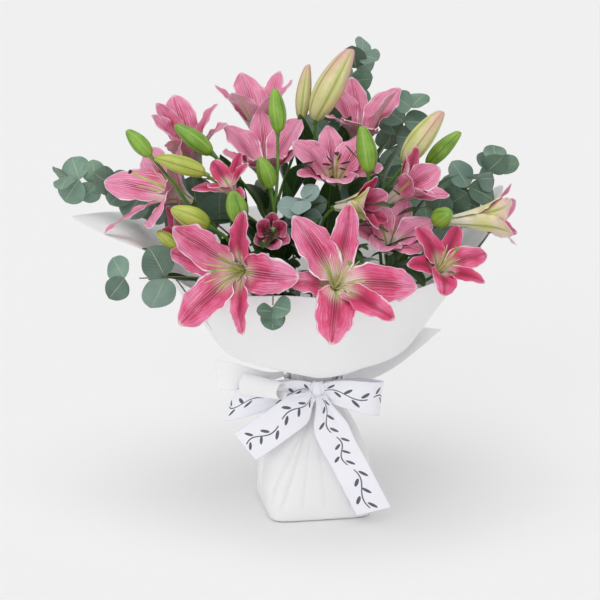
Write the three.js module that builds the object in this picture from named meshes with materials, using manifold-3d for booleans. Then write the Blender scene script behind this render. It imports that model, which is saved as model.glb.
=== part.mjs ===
// A wrapped bunch of oriental lilies that stands by itself on a water-filled foot.
// Millimetres, +Z up, the front towards -Y. The origin is the middle of the foot's flat underside.
//
// From the table up: a paper foot holds a water bag, the cut stems stand in the bag, a twine tie holds
// the stems at the binding point, and paper sheets flare from there as a bowl round the flowers.
// A satin ribbon goes round the neck and ends in a bow.
//
// Bearings are degrees in plan: 0 is the front, 90 the right, -90 the left and 180 the back.
// Lifts are degrees above the horizontal.
import * as THREE from "three";
import { mergeVertices } from "three/addons/utils/BufferGeometryUtils.js";
import Module from "manifold-3d";

const wasm = await Module();
wasm.setup();

// ---- Driving dimensions ----
const GAP = 0.4; // air between two pieces that meet
const TIE_HEIGHT = 182; // the binding point above the table
const FOOT_WIDTH = 140; // the paper foot, side to side
const FOOT_TURN = 10; // degrees that the foot is turned from facing the front
const FOOT_WALL = 1.4;
const PAPER = 1.2; // thickness of a wrapping sheet with its folded edge
const PAPER_STEP = 2.6; // from one wrapping sheet to the next inside it
const BOWL_LENGTH = 245; // from the binding point along the bowl to its rim
const WATER_ROOM = 16; // between the water bag and the side of the foot
const WATER_HEIGHT = 92;
const STEM_RADIUS = 3.6; // lily stem
const TWIG_RADIUS = 1.7; // eucalyptus stem
const PEDICEL_RADIUS = 2.2; // the stalk of one flower or bud
const STEM_END = 22; // the cut ends above the table
const PETAL_THICKNESS = 1.3;
const LEAF_THICKNESS = 1.1;
const RIBBON_WIDTH = 46;
const RIBBON_THICKNESS = 0.9;
const TIE_WIDTH = 9;
const TIE_THICKNESS = 1.6;
const TIE_ROOM = 2; // from the eucalyptus stems out to the tie
const NECK_ROOM = 0.3; // from the tie out to the innermost sheet, besides the tie's bulge

// ---- The neck, from the stems outwards ----
const LILY_RING = (8 / 3) * STEM_RADIUS; // the lily stems stand on this radius in the tie
const TWIG_RING = LILY_RING + STEM_RADIUS + TWIG_RADIUS + 1.5; // the eucalyptus stems on this one
const TIE_INSIDE = TWIG_RING + TWIG_RADIUS + TIE_ROOM;
const TIE_BULGE = 0.6;
const LAYERS = 4; // steps from the outermost place of a sheet in to the innermost
const SHEET_RADIUS = TIE_INSIDE + TIE_THICKNESS + 2 * TIE_BULGE + NECK_ROOM + LAYERS * PAPER_STEP + PAPER / 2;
const NECK_RADIUS = SHEET_RADIUS + 3 * GAP + PAPER / 2; // inside of the foot's gathered neck

// ---- Materials ----
const finish = (color, roughness) =>
  new THREE.MeshStandardMaterial({ color, roughness, metalness: 0, side: THREE.DoubleSide });
const PINK = finish(0xd9628c, 0.5);
const PALE_PINK = finish(0xe3a0b8, 0.5);
const BUD_GREEN = finish(0x8fae3e, 0.45);
const BUD_CREAM = finish(0xd5cf9a, 0.45);
const STEM_GREEN = finish(0x4f7a2c, 0.55);
const GUM_GREEN = finish(0x6f8f7d, 0.7);
const STAMEN_GREEN = finish(0xb9c46a, 0.5);
const PAPER_WHITE = finish(0xf1f1f1, 0.8);
const SATIN_WHITE = finish(0xeeeefa, 0.35);
const TWINE = finish(0xb89a6a, 0.9);
const WATER = finish(0xcfe0e4, 0.1);

// ---- Small helpers ----
const { sin, cos, abs, min, max, PI, pow } = Math;
const rad = THREE.MathUtils.degToRad;
const mix = THREE.MathUtils.lerp;
const vec = (x, y, z) => new THREE.Vector3(x, y, z);
const smooth = (x) => THREE.MathUtils.smoothstep(x, 0, 1);

// The unit vector at a bearing and a lift.
const heading = (bearing, lift = 0) =>
  vec(sin(rad(bearing)) * cos(rad(lift)), -cos(rad(bearing)) * cos(rad(lift)), sin(rad(lift)));

// A point given from the binding point.
const fromTie = ([x, y, z]) => vec(x, y, z + TIE_HEIGHT);

// The turn that takes local +Z to a bearing and lift, after a roll about it.
function aimed(bearing, lift, roll = 0) {
  const z = heading(bearing, lift);
  const x = vec(cos(rad(bearing)), sin(rad(bearing)), 0);
  const y = new THREE.Vector3().crossVectors(z, x);
  const q = new THREE.Quaternion().setFromRotationMatrix(new THREE.Matrix4().makeBasis(x, y, z));
  return q.multiply(new THREE.Quaternion().setFromAxisAngle(vec(0, 0, 1), rad(roll)));
}

function geometryOf(points, triangles) {
  const geometry = new THREE.BufferGeometry().setFromPoints(points);
  return geometry.setIndex(triangles.flat());
}

// A thin sheet as a closed solid. surface(s, t) is its middle, s from 0 to 1 and t from -1 to 1.
function sheetGeometry(surface, rows, columns, thickness) {
  const EDGE = 1e-3;
  const side = rows.length * columns.length;
  const upper = [];
  const lower = [];
  for (const s of rows)
    for (const t of columns) {
      const along = surface(min(s + EDGE, 1), t).sub(surface(max(s - EDGE, 0), t));
      const across = surface(s, min(t + EDGE, 1)).sub(surface(s, max(t - EDGE, -1)));
      const normal = along.cross(across).normalize().multiplyScalar(thickness / 2);
      upper.push(surface(s, t).add(normal));
      lower.push(surface(s, t).sub(normal));
    }
  const at = (i, j) => i * columns.length + j;
  const triangles = [];
  const quad = (a, b, c, d) => triangles.push([a, b, c], [a, c, d]);
  const lastRow = rows.length - 1;
  const lastColumn = columns.length - 1;
  for (let i = 0; i < lastRow; i++)
    for (let j = 0; j < lastColumn; j++) {
      quad(at(i, j), at(i + 1, j), at(i + 1, j + 1), at(i, j + 1));
      quad(side + at(i, j), side + at(i, j + 1), side + at(i + 1, j + 1), side + at(i + 1, j));
    }
  for (let i = 0; i < lastRow; i++) {
    quad(at(i, 0), side + at(i, 0), side + at(i + 1, 0), at(i + 1, 0));
    const [near, far] = [at(i, lastColumn), at(i + 1, lastColumn)];
    quad(near, far, side + far, side + near);
  }
  for (let j = 0; j < lastColumn; j++) {
    quad(at(0, j), at(0, j + 1), side + at(0, j + 1), side + at(0, j));
    quad(at(lastRow, j), side + at(lastRow, j), side + at(lastRow, j + 1), at(lastRow, j + 1));
  }
  return geometryOf([...upper, ...lower], triangles);
}

// A strip along a curve through points. half(s) is half its width, which stands along edge.
function stripGeometry(points, edge, half, rows, thickness) {
  const curve = new THREE.CatmullRomCurve3(points);
  const way = edge.clone().normalize();
  const surface = (s, t) => curve.getPoint(s).addScaledVector(way, t * half(s));
  const along = Array.from({ length: rows + 1 }, (_, i) => i / rows);
  return sheetGeometry(surface, along, [-1, 0, 1], thickness);
}

// A closed solid through rings of equally many points, capped at both ends.
function loftGeometry(rings) {
  const n = rings[0].length;
  const points = rings.flat();
  const triangles = [];
  for (let k = 0; k < rings.length - 1; k++)
    for (let i = 0; i < n; i++) {
      const j = (i + 1) % n;
      const a = k * n;
      const b = a + n;
      triangles.push([a + i, a + j, b + j], [a + i, b + j, b + i]);
    }
  const cap = (ring, first, flip) => {
    const middle = ring.reduce((sum, p) => sum.add(p), vec(0, 0, 0)).divideScalar(n);
    points.push(middle);
    for (let i = 0; i < n; i++) {
      const j = (i + 1) % n;
      const [a, b] = flip ? [j, i] : [i, j];
      triangles.push([points.length - 1, first + a, first + b]);
    }
  };
  cap(rings[0], 0, true);
  cap(rings.at(-1), (rings.length - 1) * n, false);
  return geometryOf(points, triangles);
}

// A round rod through points.
function rodGeometry(points, radius, sides) {
  const last = points.length - 1;
  let side = vec(0.31, 0.95, 0);
  const rings = points.map((point, i) => {
    const along = points[min(i + 1, last)].clone().sub(points[max(i - 1, 0)]).normalize();
    side = side.clone().addScaledVector(along, -side.dot(along)).normalize();
    const other = new THREE.Vector3().crossVectors(along, side);
    return Array.from({ length: sides }, (_, k) => {
      const a = (2 * PI * k) / sides;
      return point.clone().addScaledVector(side, radius * cos(a)).addScaledVector(other, radius * sin(a));
    });
  });
  return loftGeometry(rings);
}

// A profile of [radius, height] pairs turned about the upright axis.
const turned = (profile, sides) =>
  new THREE.LatheGeometry(profile.map(([r, z]) => new THREE.Vector2(r, z)), sides).rotateX(PI / 2);

// ---- Booleans ----
function solidOf(geometry) {
  const bare = geometry.clone();
  bare.deleteAttribute("normal");
  bare.deleteAttribute("uv");
  const merged = mergeVertices(bare, 1e-3);
  const solid = new wasm.Manifold(
    new wasm.Mesh({
      numProp: 3,
      vertProperties: merged.attributes.position.array,
      triVerts: new Uint32Array(merged.index.array),
    }),
  );
  return solid;
}

function geometryFrom(solid) {
  const { numProp, numVert, vertProperties, triVerts } = solid.getMesh();
  const places = new Float32Array(numVert * 3);
  for (let i = 0; i < numVert; i++) {
    const first = i * numProp;
    places.set(vertProperties.subarray(first, first + 3), i * 3);
  }
  return new THREE.BufferGeometry()
    .setAttribute("position", new THREE.BufferAttribute(places, 3))
    .setIndex(new THREE.BufferAttribute(triVerts, 1));
}

const joined = (geometries) => geometryFrom(geometries.map(solidOf).reduce((all, one) => all.add(one)));
const cutBy = (geometry, tools) =>
  geometryFrom(tools.map(solidOf).reduce((left, tool) => left.subtract(tool), solidOf(geometry)));

function named(name, geometry, material, place = vec(0, 0, 0), turn = new THREE.Quaternion()) {
  const mesh = new THREE.Mesh(geometry, material);
  mesh.name = name;
  mesh.position.copy(place);
  mesh.quaternion.copy(turn);
  return mesh;
}

// ---- Lily petals and flowers ----
// The petals of a flower lie on one trumpet. Three broad inner petals close it with a seam between each
// two, and three narrow outer petals lie over the seams, a step further out.
const CLAW = 9; // degrees from the flower's axis at which a petal starts
const PETAL_BASE = 3.4; // radius of the ring that the inner petals start from
const PETAL_STEP = 2.2; // from the inner petals out to the outer ones
const PETAL_SEAM = 54; // degrees of the trumpet that half a petal takes at most
const PETAL_ROWS = [0, 0.2, 0.45, 0.74, 1];
const SMALL_ROWS = [0, 0.3, 0.68, 1]; // of the petals of a flower shorter than SMALL
const SMALL = 80;
const PETAL_COLUMNS = [-1, 0, 1];
const PETAL_TIP = 1.2; // half the width of a petal's tip
const RECEPTACLE = { top: 8.2, bottom: 7, height: 3.2 }; // where the petals meet the stalk
const OUTER = { length: 1.02, width: 0.68, open: 3 }; // an outer petal next to an inner one

// How wide a petal is along its length, as a share of its half width.
function petalShare(s) {
  const towardsTip = max(0, (s - 0.5) / 0.5);
  return (0.3 + 0.7 * smooth(s / 0.5)) * pow(1 - pow(towardsTip, 2.1), 0.8);
}

// A petal's middle surface, before it is turned to its place round the axis. open is the angle from the
// axis at mid length, and curl what the tip adds to it.
function petalSurface({ length, width, open, curl, sway = 0, step = 0 }) {
  const STEPS = 40;
  const angle = (s) => {
    const tipCurl = curl * pow(max(0, (s - 0.4) / 0.6), 1.4);
    return rad(CLAW + (open - CLAW) * smooth(s / 0.45) + tipCurl);
  };
  const line = [[PETAL_BASE, 0]];
  for (let k = 0; k < STEPS; k++) {
    const a = angle((k + 0.5) / STEPS);
    line.push([line[k][0] + (sin(a) * length) / STEPS, line[k][1] + (cos(a) * length) / STEPS]);
  }
  return (s, t) => {
    const k = min(STEPS - 1, Math.floor(s * STEPS));
    const part = s * STEPS - k;
    const a = angle(s);
    const r = mix(line[k][0], line[k + 1][0], part) + step * cos(a);
    const z = mix(line[k][1], line[k + 1][1], part) - step * sin(a);
    const half = max(PETAL_TIP, (width / 2) * petalShare(s));
    const round = t * min(half / r, rad(PETAL_SEAM)) + sway * s * s;
    return vec(r * cos(round), r * sin(round), z);
  };
}

// Six petals on a receptacle, the even ones inner and the odd ones outer.
function bloomGeometry({ length, width, open, curl, petals = {} }) {
  const base = new THREE.CylinderGeometry(RECEPTACLE.top, RECEPTACLE.bottom, RECEPTACLE.height, 6)
    .rotateX(PI / 2)
    .translate(0, 0, RECEPTACLE.height / 2 - 1);
  const parts = [base];
  for (let k = 0; k < 6; k++) {
    const kind = k % 2 ? OUTER : { length: 1, width: 1, open: 0 };
    const own = { length: 1, width: 1, open: 0, curl: 0, turn: 0, ...petals[k] };
    const surface = petalSurface({
      length: length * own.length * kind.length,
      width: width * own.width * kind.width,
      open: open + own.open + kind.open,
      curl: curl + own.curl,
      sway: own.sway,
      step: k % 2 ? PETAL_STEP : 0,
    });
    const rows = length < SMALL ? SMALL_ROWS : PETAL_ROWS;
    const petal = sheetGeometry(surface, rows, PETAL_COLUMNS, PETAL_THICKNESS);
    parts.push(petal.rotateZ(rad(60 * k + own.turn)));
  }
  return joined(parts);
}

// Six stamens and a pistil on a small boss, which stands in the throat of an open flower.
function stamensGeometry(length) {
  const LOW = 12; // above the flower's base
  const rod = (to, radius) => rodGeometry([vec(0, 0, LOW), to], radius, 4);
  const stigma = vec(4, 3, length);
  const parts = [
    new THREE.CylinderGeometry(2.4, 2.4, 4, 6).rotateX(PI / 2).translate(0, 0, LOW),
    rod(stigma, 1.5),
    new THREE.SphereGeometry(3.6, 6, 3).scale(1, 1, 0.6).translate(stigma.x, stigma.y, stigma.z),
  ];
  for (let k = 0; k < 6; k++) {
    const a = rad(60 * k + 30);
    const tip = vec(0.36 * length * cos(a), 0.36 * length * sin(a), 0.82 * length);
    parts.push(rod(tip, 0.9));
  }
  return joined(parts);
}

// The flowers: base point from the binding point, where each faces, its petals and any petal that differs.
const BLOOMS = {
  front_left: {
    at: [-79, -165, 176], aim: [-37, 6], roll: 3, length: 112, width: 52, open: 61, curl: 19,
    petals: {
      0: { open: 20, curl: 10 },
      1: { open: -7 },
      2: { open: -15, turn: 13, curl: -14 },
      3: { open: 11, turn: -10, curl: 9 },
      4: { open: -7, turn: -6, curl: -7 },
      5: { open: -10, turn: 6, curl: -6 },
    },
  },
  front_right: {
    at: [22, -181, 153], aim: [15, 36], roll: 3, length: 112, width: 52, open: 65, curl: 19,
    petals: {
      0: { open: 13, turn: -13, curl: 7 },
      1: { turn: 12, curl: -4 },
      3: { open: -7, length: 0.7 },
      4: { open: 4, turn: 9 },
      5: { open: -13, curl: -8 },
    },
  },
  right: {
    at: [149, -127, 161], aim: [29, 41], roll: 0, length: 72, width: 38, open: 52, curl: 48,
    petals: { 1: { turn: -7 }, 5: { open: -12, turn: 5, curl: -10 } },
  },
  left: {
    at: [-154, -46, 236], aim: [-78, 31], roll: -83, length: 122, width: 52, open: 50, curl: 23,
    petals: {
      0: { width: 0.5 },
      1: { open: 15, curl: 10, width: 1.5 },
      2: { open: -5, length: 0.72 },
      3: { length: 0.68 },
      4: { turn: 6, length: 0.9 },
      5: { open: -15, turn: -7, curl: -10, width: 1.4 },
    },
  },
  upper_left: {
    at: [-149, 38, 255], aim: [-34, 63], roll: -7, length: 106, width: 46, open: 25, curl: 23,
    petals: {
      0: { open: 13, turn: 11, curl: 6 },
      1: { open: -10, turn: -16, curl: 22 },
      2: { turn: 17 },
      3: { open: -16, curl: -11 },
      4: { open: -11, turn: -10, curl: -14 },
    },
  },
  lower_left: { at: [-140, -68, 198], aim: [-78, 18], roll: 30, length: 60, width: 34, open: 34, curl: 20 },
  top_left: { at: [-68, 72, 285], aim: [-20, 78], roll: 15, length: 100, width: 42, open: 26, curl: 14 },
  small_left: {
    at: [-99, -112, 258], aim: [-31, 52], roll: 27, length: 54, width: 24, open: 47, curl: 37,
    petals: {
      0: { open: -12, curl: -7 },
      2: { open: 9, turn: -6, curl: 11 },
      3: { open: 9 },
      4: { open: -17, curl: -11 },
      5: { open: 9, curl: 5 },
    },
  },
  centre: { at: [-60, 4, 246], aim: [-5, 66], roll: 40, length: 94, width: 45, open: 34, curl: 22 },
  top_right: {
    at: [57, 42, 279], aim: [27, 75], roll: 8, length: 101, width: 42, open: 29, curl: 22,
    petals: {
      1: { turn: 13 },
      3: { open: 8, turn: 13, curl: 20 },
      4: { open: 16, turn: -15 },
      5: { open: -14, curl: -15 },
    },
  },
  centre_right: { at: [25, -41, 245], aim: [4, 60], roll: 36, length: 86, width: 44, open: 36, curl: 40 },
  small_front: { at: [-53, -118, 208], aim: [2, 16], roll: 30, length: 44, width: 26, open: 18, curl: 12 },
  mid_right: { at: [27, -100, 240], aim: [62, 8], roll: 15, length: 62, width: 30, open: 22, curl: 24 },
  upper_right: { at: [92, -68, 240], aim: [62, 38], roll: 0, length: 76, width: 40, open: 24, curl: 26 },
  far_right: { at: [168, -70, 216], aim: [80, 6], roll: 20, length: 92, width: 34, open: 14, curl: 36 },
  right_back: { at: [92, -90, 181], aim: [10, 55], roll: 0, length: 70, width: 46, open: 44, curl: 30 },
};
const STAMENS = { front_left: 74, front_right: 74, right: 56 };

// ---- Buds ----
// Each is a closed spindle: base point, where it points, length and thickness.
const BUDS = {
  bud_left_tip: { at: [-200, -114, 306], aim: [-88, 48], length: 42, thick: 21, material: BUD_GREEN },
  bud_upper_left: { at: [-128, -72, 302], aim: [-88, 38], length: 57, thick: 24, material: BUD_GREEN },
  bud_left_long: { at: [-134, -116, 284], aim: [-88, 17], length: 64, thick: 23, material: BUD_CREAM },
  bud_top_centre: { at: [-45, -86, 331], aim: [-80, 84], length: 54, thick: 22, material: BUD_GREEN },
  bud_centre: { at: [-54, -112, 266], aim: [-50, 66], length: 42, thick: 24, material: BUD_GREEN },
  bud_middle: { at: [-91, -173, 236], aim: [-25, 64], length: 44, thick: 26, material: BUD_GREEN },
  bud_low_left: { at: [-128, -158, 228], aim: [-80, 26], length: 50, thick: 28, material: BUD_CREAM },
  bud_side_left: { at: [-165, -124, 189], aim: [-80, 42], length: 38, thick: 19, material: BUD_GREEN },
  bud_top_large: { at: [3, 8, 332], aim: [85, 62], length: 102, thick: 37, material: BUD_CREAM },
  bud_top_small: { at: [-14, 30, 328], aim: [60, 82], length: 74, thick: 20, material: BUD_CREAM },
  bud_right_large: { at: [115, -32, 282], aim: [88, 54], length: 82, thick: 31, material: BUD_CREAM },
  bud_right_tip: { at: [146, -4, 275], aim: [88, 46], length: 60, thick: 22, material: BUD_GREEN },
  bud_right_centre: { at: [66, -98, 283], aim: [-80, 80], length: 58, thick: 26, material: BUD_GREEN },
  bud_right_low: { at: [150, -110, 222], aim: [30, 30], length: 34, thick: 26, material: BUD_GREEN },
};

function budGeometry({ length, thick }) {
  const r = thick / 2;
  const profile = [[0, 0], [0.36, 0], [0.8, 0.14], [1, 0.38], [0.82, 0.7], [0.4, 0.93], [0, 1]];
  return turned(profile.map(([across, up]) => [across * r, up * length]), 9);
}

// ---- Lily stems ----
// Each stem holds the flowers and buds named, on stalks that fork from its top.
const LILY_STEMS = {
  lily_stem_left: {
    bearing: -78, fork: [-90, -24, 126],
    heads: ["left", "lower_left", "bud_left_tip", "bud_left_long", "bud_side_left", "bud_low_left"],
  },
  lily_stem_front_left: {
    bearing: -30, fork: [-45, -75, 110],
    heads: ["front_left", "small_left", "bud_middle", "small_front", "bud_centre", "bud_top_centre"],
  },
  lily_stem_front_right: {
    bearing: 22, fork: [14, -70, 100],
    heads: ["front_right", "mid_right"],
  },
  lily_stem_right: {
    bearing: 75, fork: [80, -35, 110],
    heads: ["right", "far_right", "bud_right_low", "upper_right", "right_back"],
  },
  lily_stem_back_right: {
    bearing: 140, fork: [50, 15, 170],
    heads: [
      "top_right", "centre_right", "bud_right_large", "bud_right_tip", "bud_top_large", "bud_right_centre",
    ],
  },
  lily_stem_back_left: {
    bearing: -135, fork: [-50, 10, 170],
    heads: ["upper_left", "top_left", "centre", "bud_top_small", "bud_upper_left"],
  },
};
const STALK_NECK = 3; // the straight end of a stalk under its flower
const SPLAY = 2.2; // how much wider both rings are at the cut ends
const ABOVE_TIE = 18; // the stems stay upright for this much above the binding point

// A stem's path from its cut end to a little above the tie.
function stemFoot(bearing, ring) {
  const out = heading(bearing);
  return [
    out.clone().multiplyScalar(ring * SPLAY).setZ(STEM_END),
    out.clone().multiplyScalar(ring).setZ(TIE_HEIGHT - TIE_WIDTH),
    out.clone().multiplyScalar(ring).setZ(TIE_HEIGHT + ABOVE_TIE),
  ];
}

const headOf = (name) => BLOOMS[name] ?? BUDS[name];

// A smooth path between two points that leaves and arrives in given directions.
function bend(from, leaving, to, arriving, parts) {
  const reach = 0.33 * from.distanceTo(to);
  const curve = new THREE.CubicBezierCurve3(
    from,
    from.clone().addScaledVector(leaving, reach),
    to.clone().addScaledVector(arriving, -reach),
    to,
  );
  return curve.getPoints(parts);
}

function stemGeometry({ bearing, heads, fork }) {
  const foot = stemFoot(bearing, LILY_RING);
  const crotch = fromTie(fork);
  const up = crotch.clone().sub(foot[2]).normalize();
  const trunk = [...foot, ...bend(foot[2], vec(0, 0, 1), crotch, up, 3).slice(1)];
  const parts = [rodGeometry(trunk, STEM_RADIUS, 6)];
  for (const name of heads) {
    const { at, aim } = headOf(name);
    const way = heading(...aim);
    const end = fromTie(at).addScaledVector(way, -1 - 2 * GAP);
    const neck = end.clone().addScaledVector(way, -STALK_NECK);
    const stalk = bend(crotch.clone().addScaledVector(up, -3), up, neck, way, 3);
    parts.push(rodGeometry([...stalk, end], PEDICEL_RADIUS, 5));
  }
  return joined(parts);
}

// ---- Eucalyptus ----
// Each twig runs through the tie to its end. Its pairs of round leaves start at first, a share of the way
// up, and each pair is a quarter turn from the one before.
const TWIGS = {
  eucalyptus_left: {
    bearing: -100, via: [-120, 30, 190], end: [-322, 6, 262], first: 0.5, pairs: 6, leaf: 48, turn: 20,
  },
  eucalyptus_low_left: {
    bearing: -45, via: [-108, -118, 146], end: [-236, -144, 160], first: 0.84, pairs: 2, leaf: 46, turn: 70,
  },
  eucalyptus_top: {
    bearing: 180, via: [0, 100, 240], end: [66, 104, 410], first: 0.5, pairs: 5, leaf: 46, turn: 10,
  },
  eucalyptus_top_right: {
    bearing: 130, via: [60, 84, 200], end: [130, 66, 345], first: 0.5, pairs: 4, leaf: 50, turn: 50,
  },
  eucalyptus_right: {
    bearing: 95, via: [125, 30, 168], end: [240, 24, 278], first: 0.5, pairs: 5, leaf: 48, turn: 30,
  },
  eucalyptus_centre: {
    bearing: 4, via: [-26, -60, 165], end: [-12, -110, 252], first: 0.6, pairs: 3, leaf: 40, turn: 0,
  },
  eucalyptus_low_front: {
    bearing: -10, via: [-44, -170, 169], end: [-50, -240, 140], first: 0.86, pairs: 2, leaf: 32, turn: 40,
  },
};

// A flat round leaf that starts at a point on the twig, goes out along a direction, and faces up.
function roundLeaf(base, out, face, size) {
  const SIDES = 7;
  const outline = Array.from({ length: SIDES }, (_, i) => {
    const a = (2 * PI * (i + 0.5)) / SIDES;
    return new THREE.Vector2(0.5 * size * (0.9 - cos(a)), 0.5 * size * sin(a) * (1 - 0.12 * cos(a)));
  });
  const side = new THREE.Vector3().crossVectors(face, out).normalize();
  return new THREE.ExtrudeGeometry(new THREE.Shape(outline), { depth: LEAF_THICKNESS, bevelEnabled: false })
    .applyMatrix4(new THREE.Matrix4().makeBasis(out, side, face).setPosition(base));
}

function twigGeometry({ bearing, via, end, first, pairs, leaf, turn }) {
  const foot = stemFoot(bearing, TWIG_RING);
  const curve = new THREE.CatmullRomCurve3([foot[2], fromTie(via), fromTie(end)]);
  const parts = [rodGeometry([...foot, ...curve.getPoints(6).slice(1)], TWIG_RADIUS, 5)];
  for (let k = 0; k < pairs; k++) {
    const u = mix(first, 0.985, k / (pairs - 1));
    const base = curve.getPointAt(u);
    const along = curve.getTangentAt(u);
    const size = leaf * mix(1.1, 0.72, k / pairs);
    for (const half of [0, 180]) {
      const q = new THREE.Quaternion().setFromAxisAngle(along, rad(turn + 90 * k + half));
      const sideways = new THREE.Vector3().crossVectors(along, vec(0, 0.3, 1)).normalize().applyQuaternion(q);
      const out = sideways.clone().addScaledVector(along, 0.7).normalize();
      const face = new THREE.Vector3().crossVectors(out, along).cross(out).negate().normalize();
      parts.push(roundLeaf(base, out, face, size));
    }
  }
  return joined(parts);
}

// ---- Wrapping paper ----
// All sheets follow one bowl, each a step inside the one before, and lengths are measured along it from
// the sheets' lower edge inside the neck. The bowl flares at BEND and rises again at RISE.
const NECK_START = 8; // the sheets start this far below the binding point
const BEND = 6;
const RISE = 84;
const SHARED = [0, 6, 17, 28, 84, 108, 132]; // rows that all sheets have in the same places
const COLUMN = 15; // degrees from one column of a sheet to the next

// The angle of the bowl from upright, at a length.
const bowlAngle = (l) => 77 * smooth((l - BEND) / 22) - 42 * smooth((l - RISE) / 48);

// A line up the bowl for one sheet, which opens by flare more degrees from a length onwards.
function bowlPoint(l, inside, flare, flareFrom) {
  const STEP = 4;
  const angle = (at) => rad(bowlAngle(at) + flare * smooth((at - flareFrom) / 50));
  let r = SHEET_RADIUS;
  let z = TIE_HEIGHT - NECK_START;
  for (let at = 0; at < l; at += STEP) {
    const part = min(STEP, l - at);
    r += sin(angle(at + part / 2)) * part;
    z += cos(angle(at + part / 2)) * part;
  }
  return [r - inside * cos(angle(l)), z + inside * sin(angle(l))];
}

// 1 at the middle bearing, falling to 0 at reach degrees from it: the corner of a square sheet.
const corner = (bearing, middle, reach) => max(0, 1 - abs(bearing - middle) / reach);

// layer counts the places from the outside in. from and to are bearings, rows the lengths of the rows that
// are the same at every bearing, top the length of the sheet at a bearing, and extra the rows up to it.
const SHEETS = {
  wrap_collar: {
    layer: 2, from: -105, to: 105, rows: SHARED, extra: 1, flare: () => 0, flareFrom: 190,
    top: (b) => BOWL_LENGTH + 26 * smooth(b / 90) + 7 * cos(rad(4 * b)),
  },
  wrap_side_right: {
    layer: 3, from: 45, to: 150, rows: SHARED, extra: 1, flare: () => 0, flareFrom: 190,
    top: (b) => BOWL_LENGTH - 20 + 92 * corner(b, 86, 40),
  },
  wrap_back: {
    layer: 4, from: 75, to: 300, rows: [...SHARED, 264], extra: 2,
    flare: (b) => 42 * smooth((b - 200) / 60), flareFrom: 264,
    top: (b) => BOWL_LENGTH + 40 + 70 * corner(b, 103, 30) + 90 * corner(b, 273, 30),
  },
};

function wrapGeometry({ layer, from, to, rows, extra, flare, flareFrom, top }) {
  const inside = layer * PAPER_STEP;
  const fixed = rows.length - 1;
  const lengthAt = (row, bearing) => rows[row] ?? mix(rows[fixed], top(bearing), (row - fixed) / extra);
  const count = fixed + extra;
  const columns = (to - from) / COLUMN;
  const surface = (s, t) => {
    const bearing = mix(from, to, (t + 1) / 2);
    const row = min(count - 1, Math.floor(s * count + 1e-9));
    const l = mix(lengthAt(row, bearing), lengthAt(row + 1, bearing), s * count - row);
    const [r, z] = bowlPoint(l, inside, flare(bearing), flareFrom);
    return heading(bearing).multiplyScalar(r).setZ(z);
  };
  const share = (n) => Array.from({ length: n + 1 }, (_, i) => i / n);
  return sheetGeometry(surface, share(count), share(columns).map((x) => 2 * x - 1), PAPER);
}

// A corner of the outermost sheet hangs off the bowl at the right, between a front and a back edge that
// start outside the ribbon band. Its points are given from the right of the neck.
const FLAP = {
  front: [[11, -4, -14], [40, -4, -8], [78, -2, 13], [132, 2, 58]],
  back: [[-2, 34, -14], [22, 40, 0], [56, 50, 16], [102, 58, 48]],
};
const besideNeck = (side) => ([x, y, z]) => fromTie([side * NECK_RADIUS + x, y, z]);

function flapGeometry() {
  const edge = (path) => new THREE.CatmullRomCurve3(path.map(besideNeck(1)));
  const [front, back] = [edge(FLAP.front), edge(FLAP.back)];
  const surface = (s, t) => front.getPoint(s).lerp(back.getPoint(s), (t + 1) / 2);
  return sheetGeometry(surface, [0, 0.2, 0.4, 0.6, 0.8, 1], [-1, -0.33, 0.33, 1], PAPER);
}

// Another corner stands upright at the left, as a strip that leaves the neck narrow and ends wide. Its
// points are given from the left of the neck.
const FRILL = { height: 40, neck: 8, path: [[-5, -13, 3], [-30, -27, 1], [-62, -31, 3], [-90, -22, 5]] };

function frillGeometry() {
  const { height, neck, path } = FRILL;
  const half = (s) => mix(neck, height, smooth(s / 0.8)) / 2;
  return stripGeometry(path.map(besideNeck(-1)), vec(-0.12, -0.1, 1), half, 6, PAPER);
}

// ---- The foot, its water and the tie ----
// One ring of the foot: half its width, and how square it is, from 2 for round to 6 for nearly square.
function squareRing(half, squareness, z, sides = 20) {
  return Array.from({ length: sides }, (_, i) => {
    const a = (2 * PI * i) / sides;
    const r = half / pow(pow(abs(cos(a)), squareness) + pow(abs(sin(a)), squareness), 1 / squareness);
    return vec(r * cos(a + rad(FOOT_TURN)), r * sin(a + rad(FOOT_TURN)), z);
  });
}

function footGeometry() {
  const half = FOOT_WIDTH / 2;
  const neck = NECK_RADIUS + FOOT_WALL;
  const top = TIE_HEIGHT - 4;
  const sections = [
    [half - 9, 6, 0], [half, 6, 0.04], [half + 3, 5, 0.24], [half - 2, 4, 0.46],
    [mix(half, neck, 0.42), 3, 0.64], [mix(half, neck, 0.82), 2.3, 0.76],
    [neck, 2, 0.84], [neck, 2, 1],
  ];
  const outer = sections.map(([h, n, share]) => squareRing(h, n, share * top));
  const inner = sections
    .map(([h, n, share]) => squareRing(h - FOOT_WALL, n, max(FOOT_WALL, share * top)))
    .reverse();
  return loftGeometry([...outer, ...inner]);
}

function waterGeometry(stems) {
  const half = FOOT_WIDTH / 2 - WATER_ROOM;
  const base = FOOT_WALL + GAP;
  const sections = [
    [half - 6, 5, 0], [half, 5, 0.1], [half, 4, 0.6], [half - 8, 3, 0.85], [half - 20, 2.4, 1],
  ];
  const rings = sections.map(([h, n, share]) => squareRing(h, n, base + share * WATER_HEIGHT, 16));
  const bag = loftGeometry(rings);
  return cutBy(bag, stems);
}

// The room that a stem takes in the water.
function stemHole(bearing, ring, radius) {
  const [end, tie] = stemFoot(bearing, ring);
  return rodGeometry([end.clone().lerp(tie, -0.02), tie], radius + 3 * GAP, 6);
}

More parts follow.
